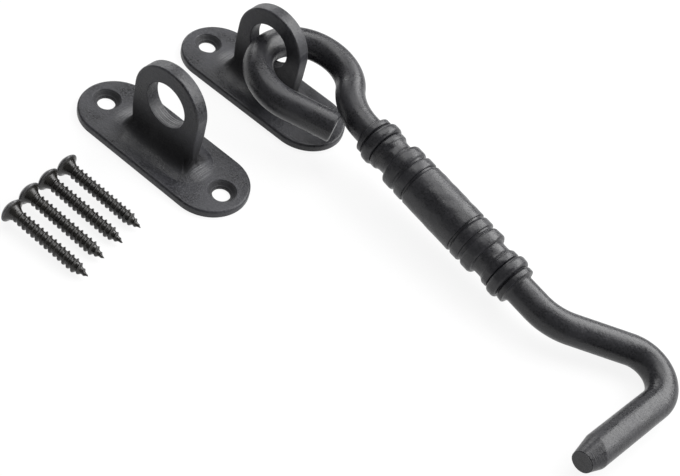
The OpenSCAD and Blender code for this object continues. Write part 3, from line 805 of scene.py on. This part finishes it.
def hook_path(sizes, grip_length):
    """Start point, start heading, and (length, curvature) of each stretch of the bar's middle line, from
    the cut end of the eye to the tip of the prong, flat in the hook's own plane. A stretch of curvature
    zero is straight, a positive one turns left and a negative one turns right. The circles of eye and neck
    touch, because their centres lie the sum of their radii apart. The free end is the tangent on which the
    corner of the cut end comes as near to the neck as the mouth's gap."""
    eye, neck = sizes.eye_bend, sizes.neck_bend
    neck_x = math.sqrt((eye + neck) ** 2 - (neck + sizes.eye_offset) ** 2)
    touch = math.atan2(neck + sizes.eye_offset, neck_x)
    heading = np.array([math.sin(sizes.free_end_angle), math.cos(sizes.free_end_angle)])
    start = np.array([0.0, -sizes.eye_offset]) + eye * heading[::-1] * [1, -1]
    side = np.array([-heading[1], heading[0]])
    to_neck = np.array([neck_x, neck]) - start - sizes.bar / 2 * side
    along = to_neck @ heading
    clear = neck + sizes.bar / 2 + sizes.eye_mouth
    free = along - math.sqrt(along ** 2 - to_neck @ to_neck + clear ** 2)
    stretches = [
        (free, 0.0),
        (eye * (2 * math.pi - sizes.free_end_angle - touch), -1 / eye),
        (neck * (math.pi / 2 - touch), 1 / neck),
        (sizes.upper_shank + grip_length + sizes.lower_shank, 0.0),
        (sizes.first_bend * sizes.first_angle, 1 / sizes.first_bend),
        (sizes.slant, 0.0),
        (sizes.prong_bend * (math.pi / 2 + sizes.first_angle), -1 / sizes.prong_bend),
        (sizes.prong, 0.0)]
    return start + free * heading, math.atan2(-heading[1], -heading[0]), stretches


def stretch_ends(path):
    """Distance along the bar at which each stretch of its path ends."""
    return np.cumsum([reach for reach, _ in path[2]])


def walk(path, distances):
    """Points and headings at the distances along a path: in a stretch of curvature k the heading grows by
    k d, and the point moves by the difference of the sine and cosine of the headings over k."""
    point, heading, stretches = path
    places = np.zeros((len(distances), 2))
    headings = np.zeros(len(distances))
    passed = 0.0
    for number, (reach, curvature) in enumerate(stretches):
        last = number == len(stretches) - 1
        here = (distances >= passed) & (True if last else distances < passed + reach)
        d = distances[here] - passed
        ends = np.append(d, reach)
        turns = heading + curvature * ends
        if curvature:
            steps = np.stack([np.sin(turns) - math.sin(heading), math.cos(heading) - np.cos(turns)], -1)
            steps /= curvature
        else:
            steps = ends[:, None] * np.array([math.cos(heading), math.sin(heading)])
        places[here], headings[here] = point + steps[:-1], turns[:-1]
        point, heading, passed = point + steps[-1], turns[-1], passed + reach
    return places, headings


def plain_profile(distances, radius):
    """A profile of one radius at the given distances."""
    return np.stack([distances, np.full(len(distances), radius)], -1)


def ring_profile(start, ring_length, diameter, edge, low_before, low_after):
    """One raised ring of the grip as (distance, radius): two walls and a flat, joined by quarter circles
    that stand no lower than the ground before and after the ring."""
    end, radius = start + ring_length, diameter / 2
    first = np.maximum(arc(180, 90, 6, edge) + [start + edge, radius - edge], [start, low_before])
    second = np.maximum(arc(90, 0, 6, edge) + [end - edge, radius - edge], [start, low_after])
    return np.concatenate([[[start, low_before]], first, second, [[end, low_after]]])


def grip_profile(grip, bar_radius):
    """Half of the turned grip as (distance from its middle, radius), from the middle outwards: a plain
    barrel, rings with grooves between them, a waist that flares as a fourth power, bead and collar, and a
    cone that falls to the bar as a square."""
    half, narrow_start = grip.barrel_length / 2, grip.barrel_length / 2 + grip.groove
    wide_start = narrow_start + grip.narrow_ring + grip.groove
    waist_start = wide_start + grip.wide_ring
    fillet_start = waist_start + grip.waist_length
    bead_start = fillet_start + grip.fillet_ring
    collar_start = bead_start + grip.bead_length + grip.groove / 2
    collar_end = collar_start + grip.collar_length
    low, hollow = grip.barrel / 2 - grip.groove_depth, grip.groove_hollow
    narrowest, widest = grip.waist / 2, grip.waist / 2 + grip.waist_flare
    notch = min(grip.fillet_diameter / 2 - grip.fillet_edge, grip.bead / 2 - grip.bead_edge)
    t = np.linspace(-1.0, 1.0, WAIST_ROWS)
    along_waist = waist_start + (t + 1.0) / 2 * grip.waist_length
    waist = np.stack([along_waist, narrowest + grip.waist_flare * t ** 4], -1)
    barrel = plain_profile(np.linspace(0.0, half - grip.barrel_edge, BARREL_ROWS), grip.barrel / 2)
    barrel_end = np.array([half, grip.barrel / 2]) - grip.barrel_edge
    corner = arc(90, 0, 5, grip.barrel_edge)[1:] + barrel_end
    middle = grip.groove / 2
    t = np.linspace(0.0, 1.0, 7)[1:]
    foot = grip.collar / 2 - 2 * grip.collar_edge
    cone = np.stack([collar_end + t * grip.cone, bar_radius + (foot - bar_radius) * (1.0 - t) ** 2], -1)
    return np.concatenate([
        barrel, corner, [[half, low]], [[half + middle, low - hollow]],
        ring_profile(narrow_start, grip.narrow_ring, grip.barrel, grip.narrow_edge, low, low),
        [[wide_start - middle, low - hollow]],
        ring_profile(wide_start, grip.wide_ring, grip.barrel, grip.wide_edge, low, widest), waist[1:-1],
        ring_profile(fillet_start, grip.fillet_ring, grip.fillet_diameter, grip.fillet_edge, widest, notch),
        ring_profile(bead_start, grip.bead_length, grip.bead, grip.bead_edge, notch, narrowest),
        [[collar_start - middle / 2, narrowest - hollow]],
        ring_profile(collar_start, grip.collar_length, grip.collar, grip.collar_edge, narrowest, foot), cone])


def hook_profile(sizes, half, middle, total):
    """The whole bar's (distance along it, radius): broken cut edge, bar, grip both ways from its middle,
    bar and flat tip. Straight walls of the rings stay, because two points may share one distance."""
    radius = sizes.bar / 2
    grip = np.concatenate([half[::-1] * [-1, 1], half[1:]]) + [middle, 0]
    bevel, edge = sizes.cut_bevel, sizes.tip_edge
    cut = np.array([[0.0, 0.0], [0.0, CUT_RING * (radius - bevel)], [0.0, radius - bevel], [bevel, radius]])
    taper_start = total - sizes.tip_taper - sizes.tip_slant
    upper = np.linspace(bevel, grip[0, 0], UPPER_ROWS)[1:-1]
    lower = np.linspace(grip[-1, 0], taper_start, LOWER_ROWS)[1:-1]
    taper = np.linspace(taper_start, total - edge, TAPER_ROWS)
    rounding = arc(90, 0, 5, edge)[1:, ::-1] * [-1, 1] + [total, radius - edge]
    flat = radius - edge - sizes.tip_depth
    face = np.array([[total, TIP_RING * flat + sizes.tip_depth], [total, sizes.tip_depth]])
    return np.concatenate([
        cut, plain_profile(upper, radius), grip, plain_profile(lower, radius), plain_profile(taper, radius),
        rounding, face])


def ground_radius(sizes, total, distances, radius, around):
    """Radius of the bar at each distance and angle. The tip's taper is ground by hand: its length changes
    round the bar by the slant times the cosine of the angle, and it ends at one depth all round."""
    taper = sizes.tip_taper - sizes.tip_slant * np.cos(around)
    ground = np.clip((distances[:, None] - (total - taper)) / taper, 0.0, 1.0)
    return np.maximum(radius[:, None] - sizes.tip_depth * ground, 0.0)


def hook_dip(sizes, seat, pivot_height, bend_centre):
    """The angle at which the shank dips until the prong's bend meets the surface. Each round works out how
    far the bend's circle and its centre's place beside the shank reach down at the last angle. The sine of
    the next one is what they and the bar's radius leave of the pivot's height, over the way along the
    shank."""
    way = bend_centre - seat
    dip = FIRST_DIP
    for _ in range(DIP_ROUNDS):
        reach = sizes.prong_bend * math.hypot(math.sin(dip), math.sin(sizes.lean) * math.cos(dip))
        drop = way[1] * math.sin(sizes.lean) * math.cos(dip)
        dip = math.asin((pivot_height - sizes.bar / 2 - reach - drop) / way[0])
    return dip


def place_hook(sizes, plate, path, points):
    """Moves points from the hook's own plane to where the hook lies. Its seat inside the eye goes to the
    pivot in the lug's hole, and it is turned there by the lean about the shank, the dip and the yaw."""
    across_eye = np.array([math.cos(sizes.yaw), math.sin(sizes.yaw)])
    seat = np.array([0.0, -sizes.eye_offset]) - sizes.eye_bend * across_eye
    play = plate.lug_hole / 2 - sizes.bar / 2 - sizes.seat_gap
    pivot = plate.lug_hole_height - math.sqrt(play ** 2 - sizes.seat_shift ** 2)
    corner, _ = walk(path, stretch_ends(path)[[SLANT]])
    slope = sizes.first_angle
    centre = corner[0] + sizes.prong_bend * np.array([math.sin(slope), -math.cos(slope)])
    dip = hook_dip(sizes, seat, pivot, centre)
    matrix = (Matrix.Translation((-sizes.seat_shift, 0.0, pivot)) @ Matrix.Rotation(-sizes.yaw, 4, "Z")
              @ Matrix.Rotation(dip, 4, "Y") @ Matrix.Rotation(-sizes.lean, 4, "X")
              @ Matrix.Translation((-seat[0], -seat[1], 0.0)))
    turn = np.array(matrix)
    return points @ turn[:3, :3].T + turn[:3, 3]


def turned_unevenness(grip, half_length, from_middle, distances, around):
    """How far the hand-turned rings sink at each distance and angle: smooth waves on a cylinder of the
    barrel's diameter, which fade out at both ends of the grip."""
    turned_share = np.clip((half_length - from_middle) / GRIP_FADE, 0.0, 1.0)[:, None]
    radius = grip.barrel / 2
    points = np.stack(np.broadcast_arrays(
        distances[:, None], radius * np.cos(around), radius * np.sin(around)), -1)
    uneven = waves(points.reshape(-1, 3), GRIP_SEED, GRIP_WAVES, GRIP_WAVE_COUNT)
    return grip.unevenness * turned_share * uneven.reshape(points.shape[:2])


def bent_hook(name, sizes, grip, plate):
    """The profile's circles carried along the bent middle line, square to it. Returns the piece, and the
    distances along the bar at which the neck and the prong start."""
    half = grip_profile(grip, sizes.bar / 2)
    half_length = half[-1, 0]
    path = hook_path(sizes, 2 * half_length)
    ends = stretch_ends(path)
    middle = ends[NECK] + sizes.upper_shank + half_length
    distances, radius = hook_profile(sizes, half, middle, ends[PRONG]).T
    places, headings = walk(path, distances)
    around = np.linspace(0.0, 2 * math.pi, AROUND + 1)[:-1]
    radius = ground_radius(sizes, ends[PRONG], distances, radius, around)
    radius = radius - turned_unevenness(grip, half_length, np.abs(distances - middle), distances, around)
    beside, above = radius * np.cos(around), radius * np.sin(around)
    side = np.stack([-np.sin(headings), np.cos(headings)], -1)
    rings = lift(places[:, None] + beside[..., None] * side[:, None], above)
    unbent = np.stack(np.broadcast_arrays(distances[:, None], beside, above), -1)
    piece = build_piece(name, [(place_hook(sizes, plate, path, rings), True)], sharp=42.0,
                        attributes={"unbent": [unbent]})
    sink_skin(piece, sizes.unevenness, BAR_SEED, BAR_WAVES)
    return piece, ends[EYE], ends[PRONG_BEND]


# Screws

# How far each screw is turned about its own axis, in radians
SCREW_TURNS = (0.3, 1.7, 2.9, 4.4)
# Rows over a head's rim, down the hollow cone and along the thread
RIM_ROWS = 9
CONE_ROWS = 17
THREAD_ROWS = 300
# How much thicker the core is where the cone meets it, in radius, and over which length that ends
NECK_STEP = 0.25 * MM
NECK_LENGTH = 0.8 * MM
# Power of the distance with which the hollow cone narrows
CONE_POWER = 0.7
# Half width of a crest as a share of the pitch, and the power that rounds its flanks
CREST_HALF_WIDTH = 0.30
CREST_POWER = 0.85
# Share of the pitch over which the crest grows under the head
CREST_RUN_IN = 0.6
# Powers with which the core and the crest shrink along the point, and the factor on what is left of the
# point that keeps the crest whole for longer
CORE_POWER = 0.9
FADE_POWER = 0.7
FADE_DELAY = 1.15
# Distance from the last row of the thread to the tip
LAST_ROW = 0.05 * MM
# How light the coat is on the head's rim and on the crests: thinned coat and painted highlight
RIM_WEAR_AND_HIGHLIGHT = 0.8
CREST_WEAR_AND_HIGHLIGHT = 0.62
# Width over which a recess's walls slope, and how much shallower a wing is at its end
WALL_SLOPE = 0.05 * MM
WING_RISE = 0.55


def screw_profile(sizes):
    """Radius and distance from the dome's edge to the shank: a rim that bulges as a parabola, a ledge that
    slopes in to the cone, and a hollow cone whose radius falls as a power below 1 of the distance."""
    head, neck, start = sizes.head / 2, sizes.core / 2 + NECK_STEP, sizes.cone_start / 2
    low = sizes.dome + sizes.rim
    t = np.linspace(0.0, 1.0, RIM_ROWS)
    rim = np.stack([head - sizes.rim_rounding * (2.0 * t - 1.0) ** 2, sizes.dome + sizes.rim * t], -1)
    t = np.linspace(0.0, 1.0, CONE_ROWS)
    along_cone = low + sizes.ledge + (sizes.cone - sizes.ledge) * t
    cone = np.stack([start + (neck - start) * t ** CONE_POWER, along_cone], -1)
    return np.concatenate([rim, cone])


def screw_thread(sizes, start, around):
    """Rows, and the radius and crest at each row and angle of the threaded stretch: the core, plus a
    narrow crest that winds one pitch per turn. Both shrink to nothing along the point as powers of what is
    left of it, the crest later than the core. A straight blend leads from the cone into the core."""
    rows = np.linspace(start, sizes.screw_length - LAST_ROW, THREAD_ROWS)[:, None]
    phase = (rows / sizes.pitch - around / (2 * math.pi)) % 1.0
    crest = np.clip(1.0 - np.abs(phase - 0.5) / CREST_HALF_WIDTH, 0.0, 1.0) ** CREST_POWER
    left = np.clip((sizes.screw_length - rows) / sizes.point, 0.0, 1.0)
    core = sizes.core / 2 * left ** CORE_POWER
    grow = np.clip((rows - start) / (CREST_RUN_IN * sizes.pitch), 0.0, 1.0)
    height = (sizes.thread - sizes.core) / 2 * grow * np.minimum(1.0, FADE_DELAY * left) ** FADE_POWER
    blend = NECK_STEP * np.clip(1.0 - (rows - start) / NECK_LENGTH, 0.0, 1.0)
    return rows, core + height * crest + blend, crest * grow


def screw_head_top(sizes):
    """The head's dome with its cross recess, as a square grid over the recess and rows from that square to
    the rim, and the directions of those rows. The dome is a cap of a sphere. The recess is two crossed
    wings that get shallower outwards."""
    head, dome, soft = sizes.head / 2 - sizes.rim_rounding, sizes.dome, WALL_SLOPE
    ball = (head ** 2 + dome ** 2) / (2 * dome)
    wing, half = sizes.recess_wing / 2, sizes.recess / 2
    near = np.array([0.0, wing / 2, wing - soft, wing, wing + soft])
    far = np.array([half - soft, half, half + 2 * soft])
    ticks = np.concatenate([near, wing + np.array([0.25, 0.5, 0.75]) * (half - wing), far])
    ticks = np.concatenate([-ticks[:0:-1], ticks])
    u, v = np.meshgrid(ticks, ticks, indexing="ij")

    def cap(x, y):
        """Depth of the sphere's cap below its top at a place."""
        return ball - np.sqrt(np.maximum(ball ** 2 - x ** 2 - y ** 2, 0.0))

    def depth(along, across):
        """Share of the recess's depth in one wing: 1 at its middle, less outwards, 0 beyond its walls."""
        inside = np.clip((wing + soft - np.abs(across)) / (2 * soft), 0.0, 1.0)
        stop = np.clip((half + soft - np.abs(along)) / (2 * soft), 0.0, 1.0)
        slope = 1.0 - WING_RISE * np.clip(np.abs(along) / half, 0.0, 1.0)
        return inside * stop * slope

    sink = sizes.recess_depth * np.maximum(depth(u, v), depth(v, u))
    square = np.stack([u, v, cap(u, v) + sink], -1)
    loop = np.concatenate([square[-1, :-1], square[:0:-1, -1], square[0, :0:-1], square[:-1, 0]])
    directions = np.arctan2(loop[:, 1], loop[:, 0])
    circle = head * np.stack([np.cos(directions), np.sin(directions)], -1)
    flat = ring_rows(loop[:, :2], circle, 8)
    ring = lift(flat, cap(flat[..., 0], flat[..., 1]))
    return square, ring, directions


def wood_screw(name, sizes, plate, number):
    """One screw: recessed head, hollow cone and wound thread. It lies on its head's rim and its thread, so
    the tangent of its tilt is the difference of their radii over the length between them."""
    square, ring, directions = screw_head_top(sizes)
    head = turned(screw_profile(sizes), directions)[:-1]
    rim_low = sizes.dome + sizes.rim
    rows, radius, crest = screw_thread(sizes, rim_low + sizes.cone, directions[None])
    shaft = np.stack([radius * np.cos(directions), radius * np.sin(directions),
                      np.broadcast_to(rows, radius.shape)], -1)
    tip = np.broadcast_to([0.0, 0.0, sizes.screw_length], (1,) + shaft.shape[1:])
    body = np.concatenate([head, shaft, tip])
    # Thinned coat and painted highlight on the head's rim and on the crests
    worn_and_highlit = np.zeros(body.shape)
    worn_and_highlit[:RIM_ROWS] = RIM_WEAR_AND_HIGHLIGHT
    worn_and_highlit[len(head):-1] = CREST_WEAR_AND_HIGHLIGHT * crest[..., None]
    grids = [(square, False), (ring, True), (body, True)]
    wear = [0.0 * square, 0.0 * ring, worn_and_highlit]
    tilt = math.atan2(sizes.head / 2 - sizes.thread / 2, sizes.screw_length - sizes.point - rim_low)
    height = rim_low * math.sin(tilt) + sizes.head / 2 * math.cos(tilt)
    first = plate.catch_distance + plate.plate_width / 2 + sizes.distance + sizes.head / 2
    place = (sizes.places[number], -first - number * (sizes.head + sizes.gap), height)
    matrix = (Matrix.Translation(place) @ Matrix.Rotation(sizes.yaw, 4, "Z") @ Matrix.Rotation(tilt, 4, "Y")
              @ Matrix.Rotation(math.pi / 2, 4, "Y") @ Matrix.Rotation(SCREW_TURNS[number], 4, "Z"))
    piece = build_piece(name, grids, merge=2e-6, sharp=35.0, attributes={"wear": wear})
    piece.data.transform(matrix)
    return piece


# Stage

# Half width of the floor, its points along a side, its depth below the latch in metres, and the share of
# plain white in what the camera and the latch's gloss see of it
FLOOR_HALF_WIDTH = 8.0
FLOOR_POINTS = 9
FLOOR_DEPTH = 0.02 * MM
FLOOR_WHITE = 0.88
# The point that all lights shine at, and each light's name, place, width and height in metres
LIT_POINT = (0.045, -0.025, 0.0)
LIGHTS = (
    ("key", (0.22, 0.42, 0.42), 0.75, 0.45),
    ("side", (0.60, 0.25, 0.20), 0.45, 0.30),
    ("fill", (-0.62, 0.43, 0.28), 0.50, 0.35),
    ("top", (-0.15, 0.10, 0.65), 0.50, 0.35),
)
# Width of the camera's sensor in millimetres, and the nearest and farthest distance that it sees in metres
SENSOR_WIDTH = 36.0
CLIP_START = 0.01
CLIP_END = 10.0


def add_floor(look):
    """A flat pale floor just under the latch. Most of what the camera and the latch's gloss see of it is
    plain white, and the rest is lit, so that the latch's shadow shows on it and stays light."""
    span = np.linspace(-FLOOR_HALF_WIDTH, FLOOR_HALF_WIDTH, FLOOR_POINTS)
    x, y = np.meshgrid(span, span, indexing="ij")
    points = np.stack([x, y, np.full_like(x, -FLOOR_DEPTH)], -1)
    mesh = bpy.data.meshes.new("floor")
    quads = grid_quads(FLOOR_POINTS, FLOOR_POINTS, False, 0)
    mesh.from_pydata(points.reshape(-1, 3).tolist(), [], quads.tolist())
    floor = bpy.data.objects.new("floor", mesh)
    bpy.context.scene.collection.objects.link(floor)
    n = Nodes("floor_paper")
    n.put(n.shader.inputs["Base Color"], colour(look.floor_colour))
    n.put(n.shader.inputs["Roughness"], 0.9)
    n.put(n.shader.inputs["Specular IOR Level"], 0.1)
    rays = n.add("ShaderNodeLightPath").outputs
    seen = n.maths("MAXIMUM", rays["Is Camera Ray"],
                   n.maths("MAXIMUM", rays["Is Glossy Ray"], rays["Is Transmission Ray"]))
    white = n.add("ShaderNodeEmission", {"Color": (1.0, 1.0, 1.0, 1.0), "Strength": 1.0}).outputs[0]
    white_share = n.maths("MULTIPLY", seen, FLOOR_WHITE)
    mixed = n.add("ShaderNodeMixShader", {0: white_share, 1: n.shader.outputs[0], 2: white})
    n.put(n.tree.nodes["Material Output"].inputs["Surface"], mixed.outputs[0])
    mesh.materials.append(n.material)


def add_light(name, place, width, height, watts):
    """A flat soft light at a place, turned to the lit point."""
    lamp = bpy.data.lights.new(name, "AREA")
    lamp.shape = "RECTANGLE"
    lamp.size, lamp.size_y, lamp.energy = width, height, watts
    light = bpy.data.objects.new(name, lamp)
    light.location = place
    light.rotation_euler = (Vector(LIT_POINT) - Vector(place)).to_track_quat("-Z", "Y").to_euler()
    bpy.context.scene.collection.objects.link(light)


def add_lights(look):
    """A large light high behind the latch, one on the right, one low on the left, one overhead, and an
    even white sky."""
    for name, place, width, height in LIGHTS:
        add_light(f"{name}_light", place, width, height, getattr(look, f"{name}_watts"))
    world = bpy.data.worlds.new("studio")
    world.use_nodes = True
    background = world.node_tree.nodes["Background"]
    background.inputs["Color"].default_value = (1.0, 1.0, 1.0, 1.0)
    background.inputs["Strength"].default_value = look.sky
    bpy.context.scene.world = world


def add_camera(look):
    """The photograph's view: the line of sight is (cos e cos a, cos e sin a, -sin e) with azimuth a and
    elevation e, and the camera is rolled about it."""
    data = bpy.data.cameras.new("camera")
    data.sensor_width, data.lens = SENSOR_WIDTH, look.lens
    data.clip_start, data.clip_end = CLIP_START, CLIP_END
    camera = bpy.data.objects.new("camera", data)
    flat = math.cos(look.elevation)
    sight = Vector((flat * math.cos(look.azimuth), flat * math.sin(look.azimuth), -math.sin(look.elevation)))
    level = sight.cross(Vector((0.0, 0.0, 1.0))).normalized()
    above = level.cross(sight)
    right = math.cos(look.roll) * level + math.sin(look.roll) * above
    up = -math.sin(look.roll) * level + math.cos(look.roll) * above
    place = Vector((look.target_x, look.target_y, 0.0)) - look.distance * sight
    camera.matrix_world = Matrix((
        (right.x, up.x, -sight.x, place.x), (right.y, up.y, -sight.y, place.y),
        (right.z, up.z, -sight.z, place.z), (0.0, 0.0, 0.0, 1.0)))
    bpy.context.scene.collection.objects.link(camera)
    bpy.context.scene.camera = camera


# Operators

def dress(piece, material, body, node):
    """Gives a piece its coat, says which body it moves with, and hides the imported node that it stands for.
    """
    piece.data.materials.append(material)
    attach(piece, body)
    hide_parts(node)


class LATCH_OT_eye_plates(bpy.types.Operator):
    """Casts the hook plate and the catch plate, each with its lug, foot and three holes"""

    bl_idname = "latch.eye_plates"
    bl_label = "Cast Eye Plates"

    def execute(self, context):
        sizes = context.scene.eye_plate_sizes
        coat = plate_coat(context.scene.coat_look)
        hook_plate = eye_plate("hook_plate_casting", sizes, seed=5, place=(0.0, 0.0, 0.0))
        dress(hook_plate, coat, "base", "hook_plate")
        catch_place = (sizes.catch_x, -sizes.catch_distance, 0.0)
        catch_plate = eye_plate("catch_plate_casting", sizes, seed=8, place=catch_place)
        dress(catch_plate, coat, "base", "catch_plate")
        return {"FINISHED"}


class LATCH_OT_hook(bpy.types.Operator):
    """Bends and turns the hook bar with its eye, grip, prong and tapered tip"""

    bl_idname = "latch.hook"
    bl_label = "Bend Hook"

    def execute(self, context):
        sizes, grip = context.scene.hook_sizes, context.scene.grip_sizes
        hook, neck_start, prong_start = bent_hook("hook_bar", sizes, grip, context.scene.eye_plate_sizes)
        coat = bar_coat(context.scene.coat_look, neck_start, prong_start)
        dress(hook, coat, "hook", "hook")
        return {"FINISHED"}


class LATCH_OT_wood_screws(bpy.types.Operator):
    """Threads the four like wood screws and lays them in their row"""

    bl_idname = "latch.wood_screws"
    bl_label = "Thread Wood Screws"

    def execute(self, context):
        sizes = context.scene.screw_sizes
        coat = screw_coat(context.scene.coat_look)
        for number in range(len(sizes.places)):
            screw = wood_screw(f"wood_screw_{number + 1}", sizes, context.scene.eye_plate_sizes, number)
            dress(screw, coat, "base", "wood_screws")
        return {"FINISHED"}


class LATCH_OT_stage(bpy.types.Operator):
    """Lays the pale floor, hangs the soft lights and sets up the camera"""

    bl_idname = "latch.stage"
    bl_label = "Set Stage"

    def execute(self, context):
        look = context.scene.stage_look
        add_floor(look)
        add_lights(look)
        add_camera(look)
        context.scene.view_settings.view_transform = "Standard"
        return {"FINISHED"}


# Panel and registration

# The panel's groups of properties in order, each with the operator whose button stands below it, if any
STEPS = (
    ("coat_look", None),
    ("eye_plate_sizes", "latch.eye_plates"),
    ("grip_sizes", None),
    ("hook_sizes", "latch.hook"),
    ("screw_sizes", "latch.wood_screws"),
    ("stage_look", "latch.stage"),
)


class VIEW3D_PT_hook_latch(bpy.types.Panel):
    """Lists the latch's sizes and the steps that make it"""

    bl_label = "Door Hook Latch"
    bl_idname = "VIEW3D_PT_hook_latch"
    bl_space_type = "VIEW_3D"
    bl_region_type = "UI"
    bl_category = "Hook Latch"

    def draw(self, context):
        for group, operator in STEPS:
            box = self.layout.box()
            settings = getattr(context.scene, group)
            for key in settings.__annotations__:
                box.prop(settings, key)
            if operator:
                box.operator(operator)


# Name of each group of properties on a scene, and its class
GROUPS = {
    "eye_plate_sizes": EyePlateSizes,
    "hook_sizes": HookSizes,
    "grip_sizes": GripSizes,
    "screw_sizes": ScrewSizes,
    "coat_look": CoatLook,
    "stage_look": StageLook,
}
CLASSES = tuple(GROUPS.values()) + (
    LATCH_OT_eye_plates, LATCH_OT_hook, LATCH_OT_wood_screws, LATCH_OT_stage, VIEW3D_PT_hook_latch)


def register():
    """Registers the classes, and gives each scene the groups of sizes and looks."""
    for cls in CLASSES:
        bpy.utils.register_class(cls)
    for name, cls in GROUPS.items():
        setattr(bpy.types.Scene, name, bpy.props.PointerProperty(type=cls))


def unregister():
    """Takes back what register did, in the other order."""
    for name in GROUPS:
        delattr(bpy.types.Scene, name)
    for cls in reversed(CLASSES):
        bpy.utils.unregister_class(cls)


def main():
    """Makes the pieces and the stage in order."""
    register()
    bpy.ops.latch.eye_plates()
    bpy.ops.latch.hook()
    bpy.ops.latch.wood_screws()
    bpy.ops.latch.stage()


if __name__ == "__main__":
    main()
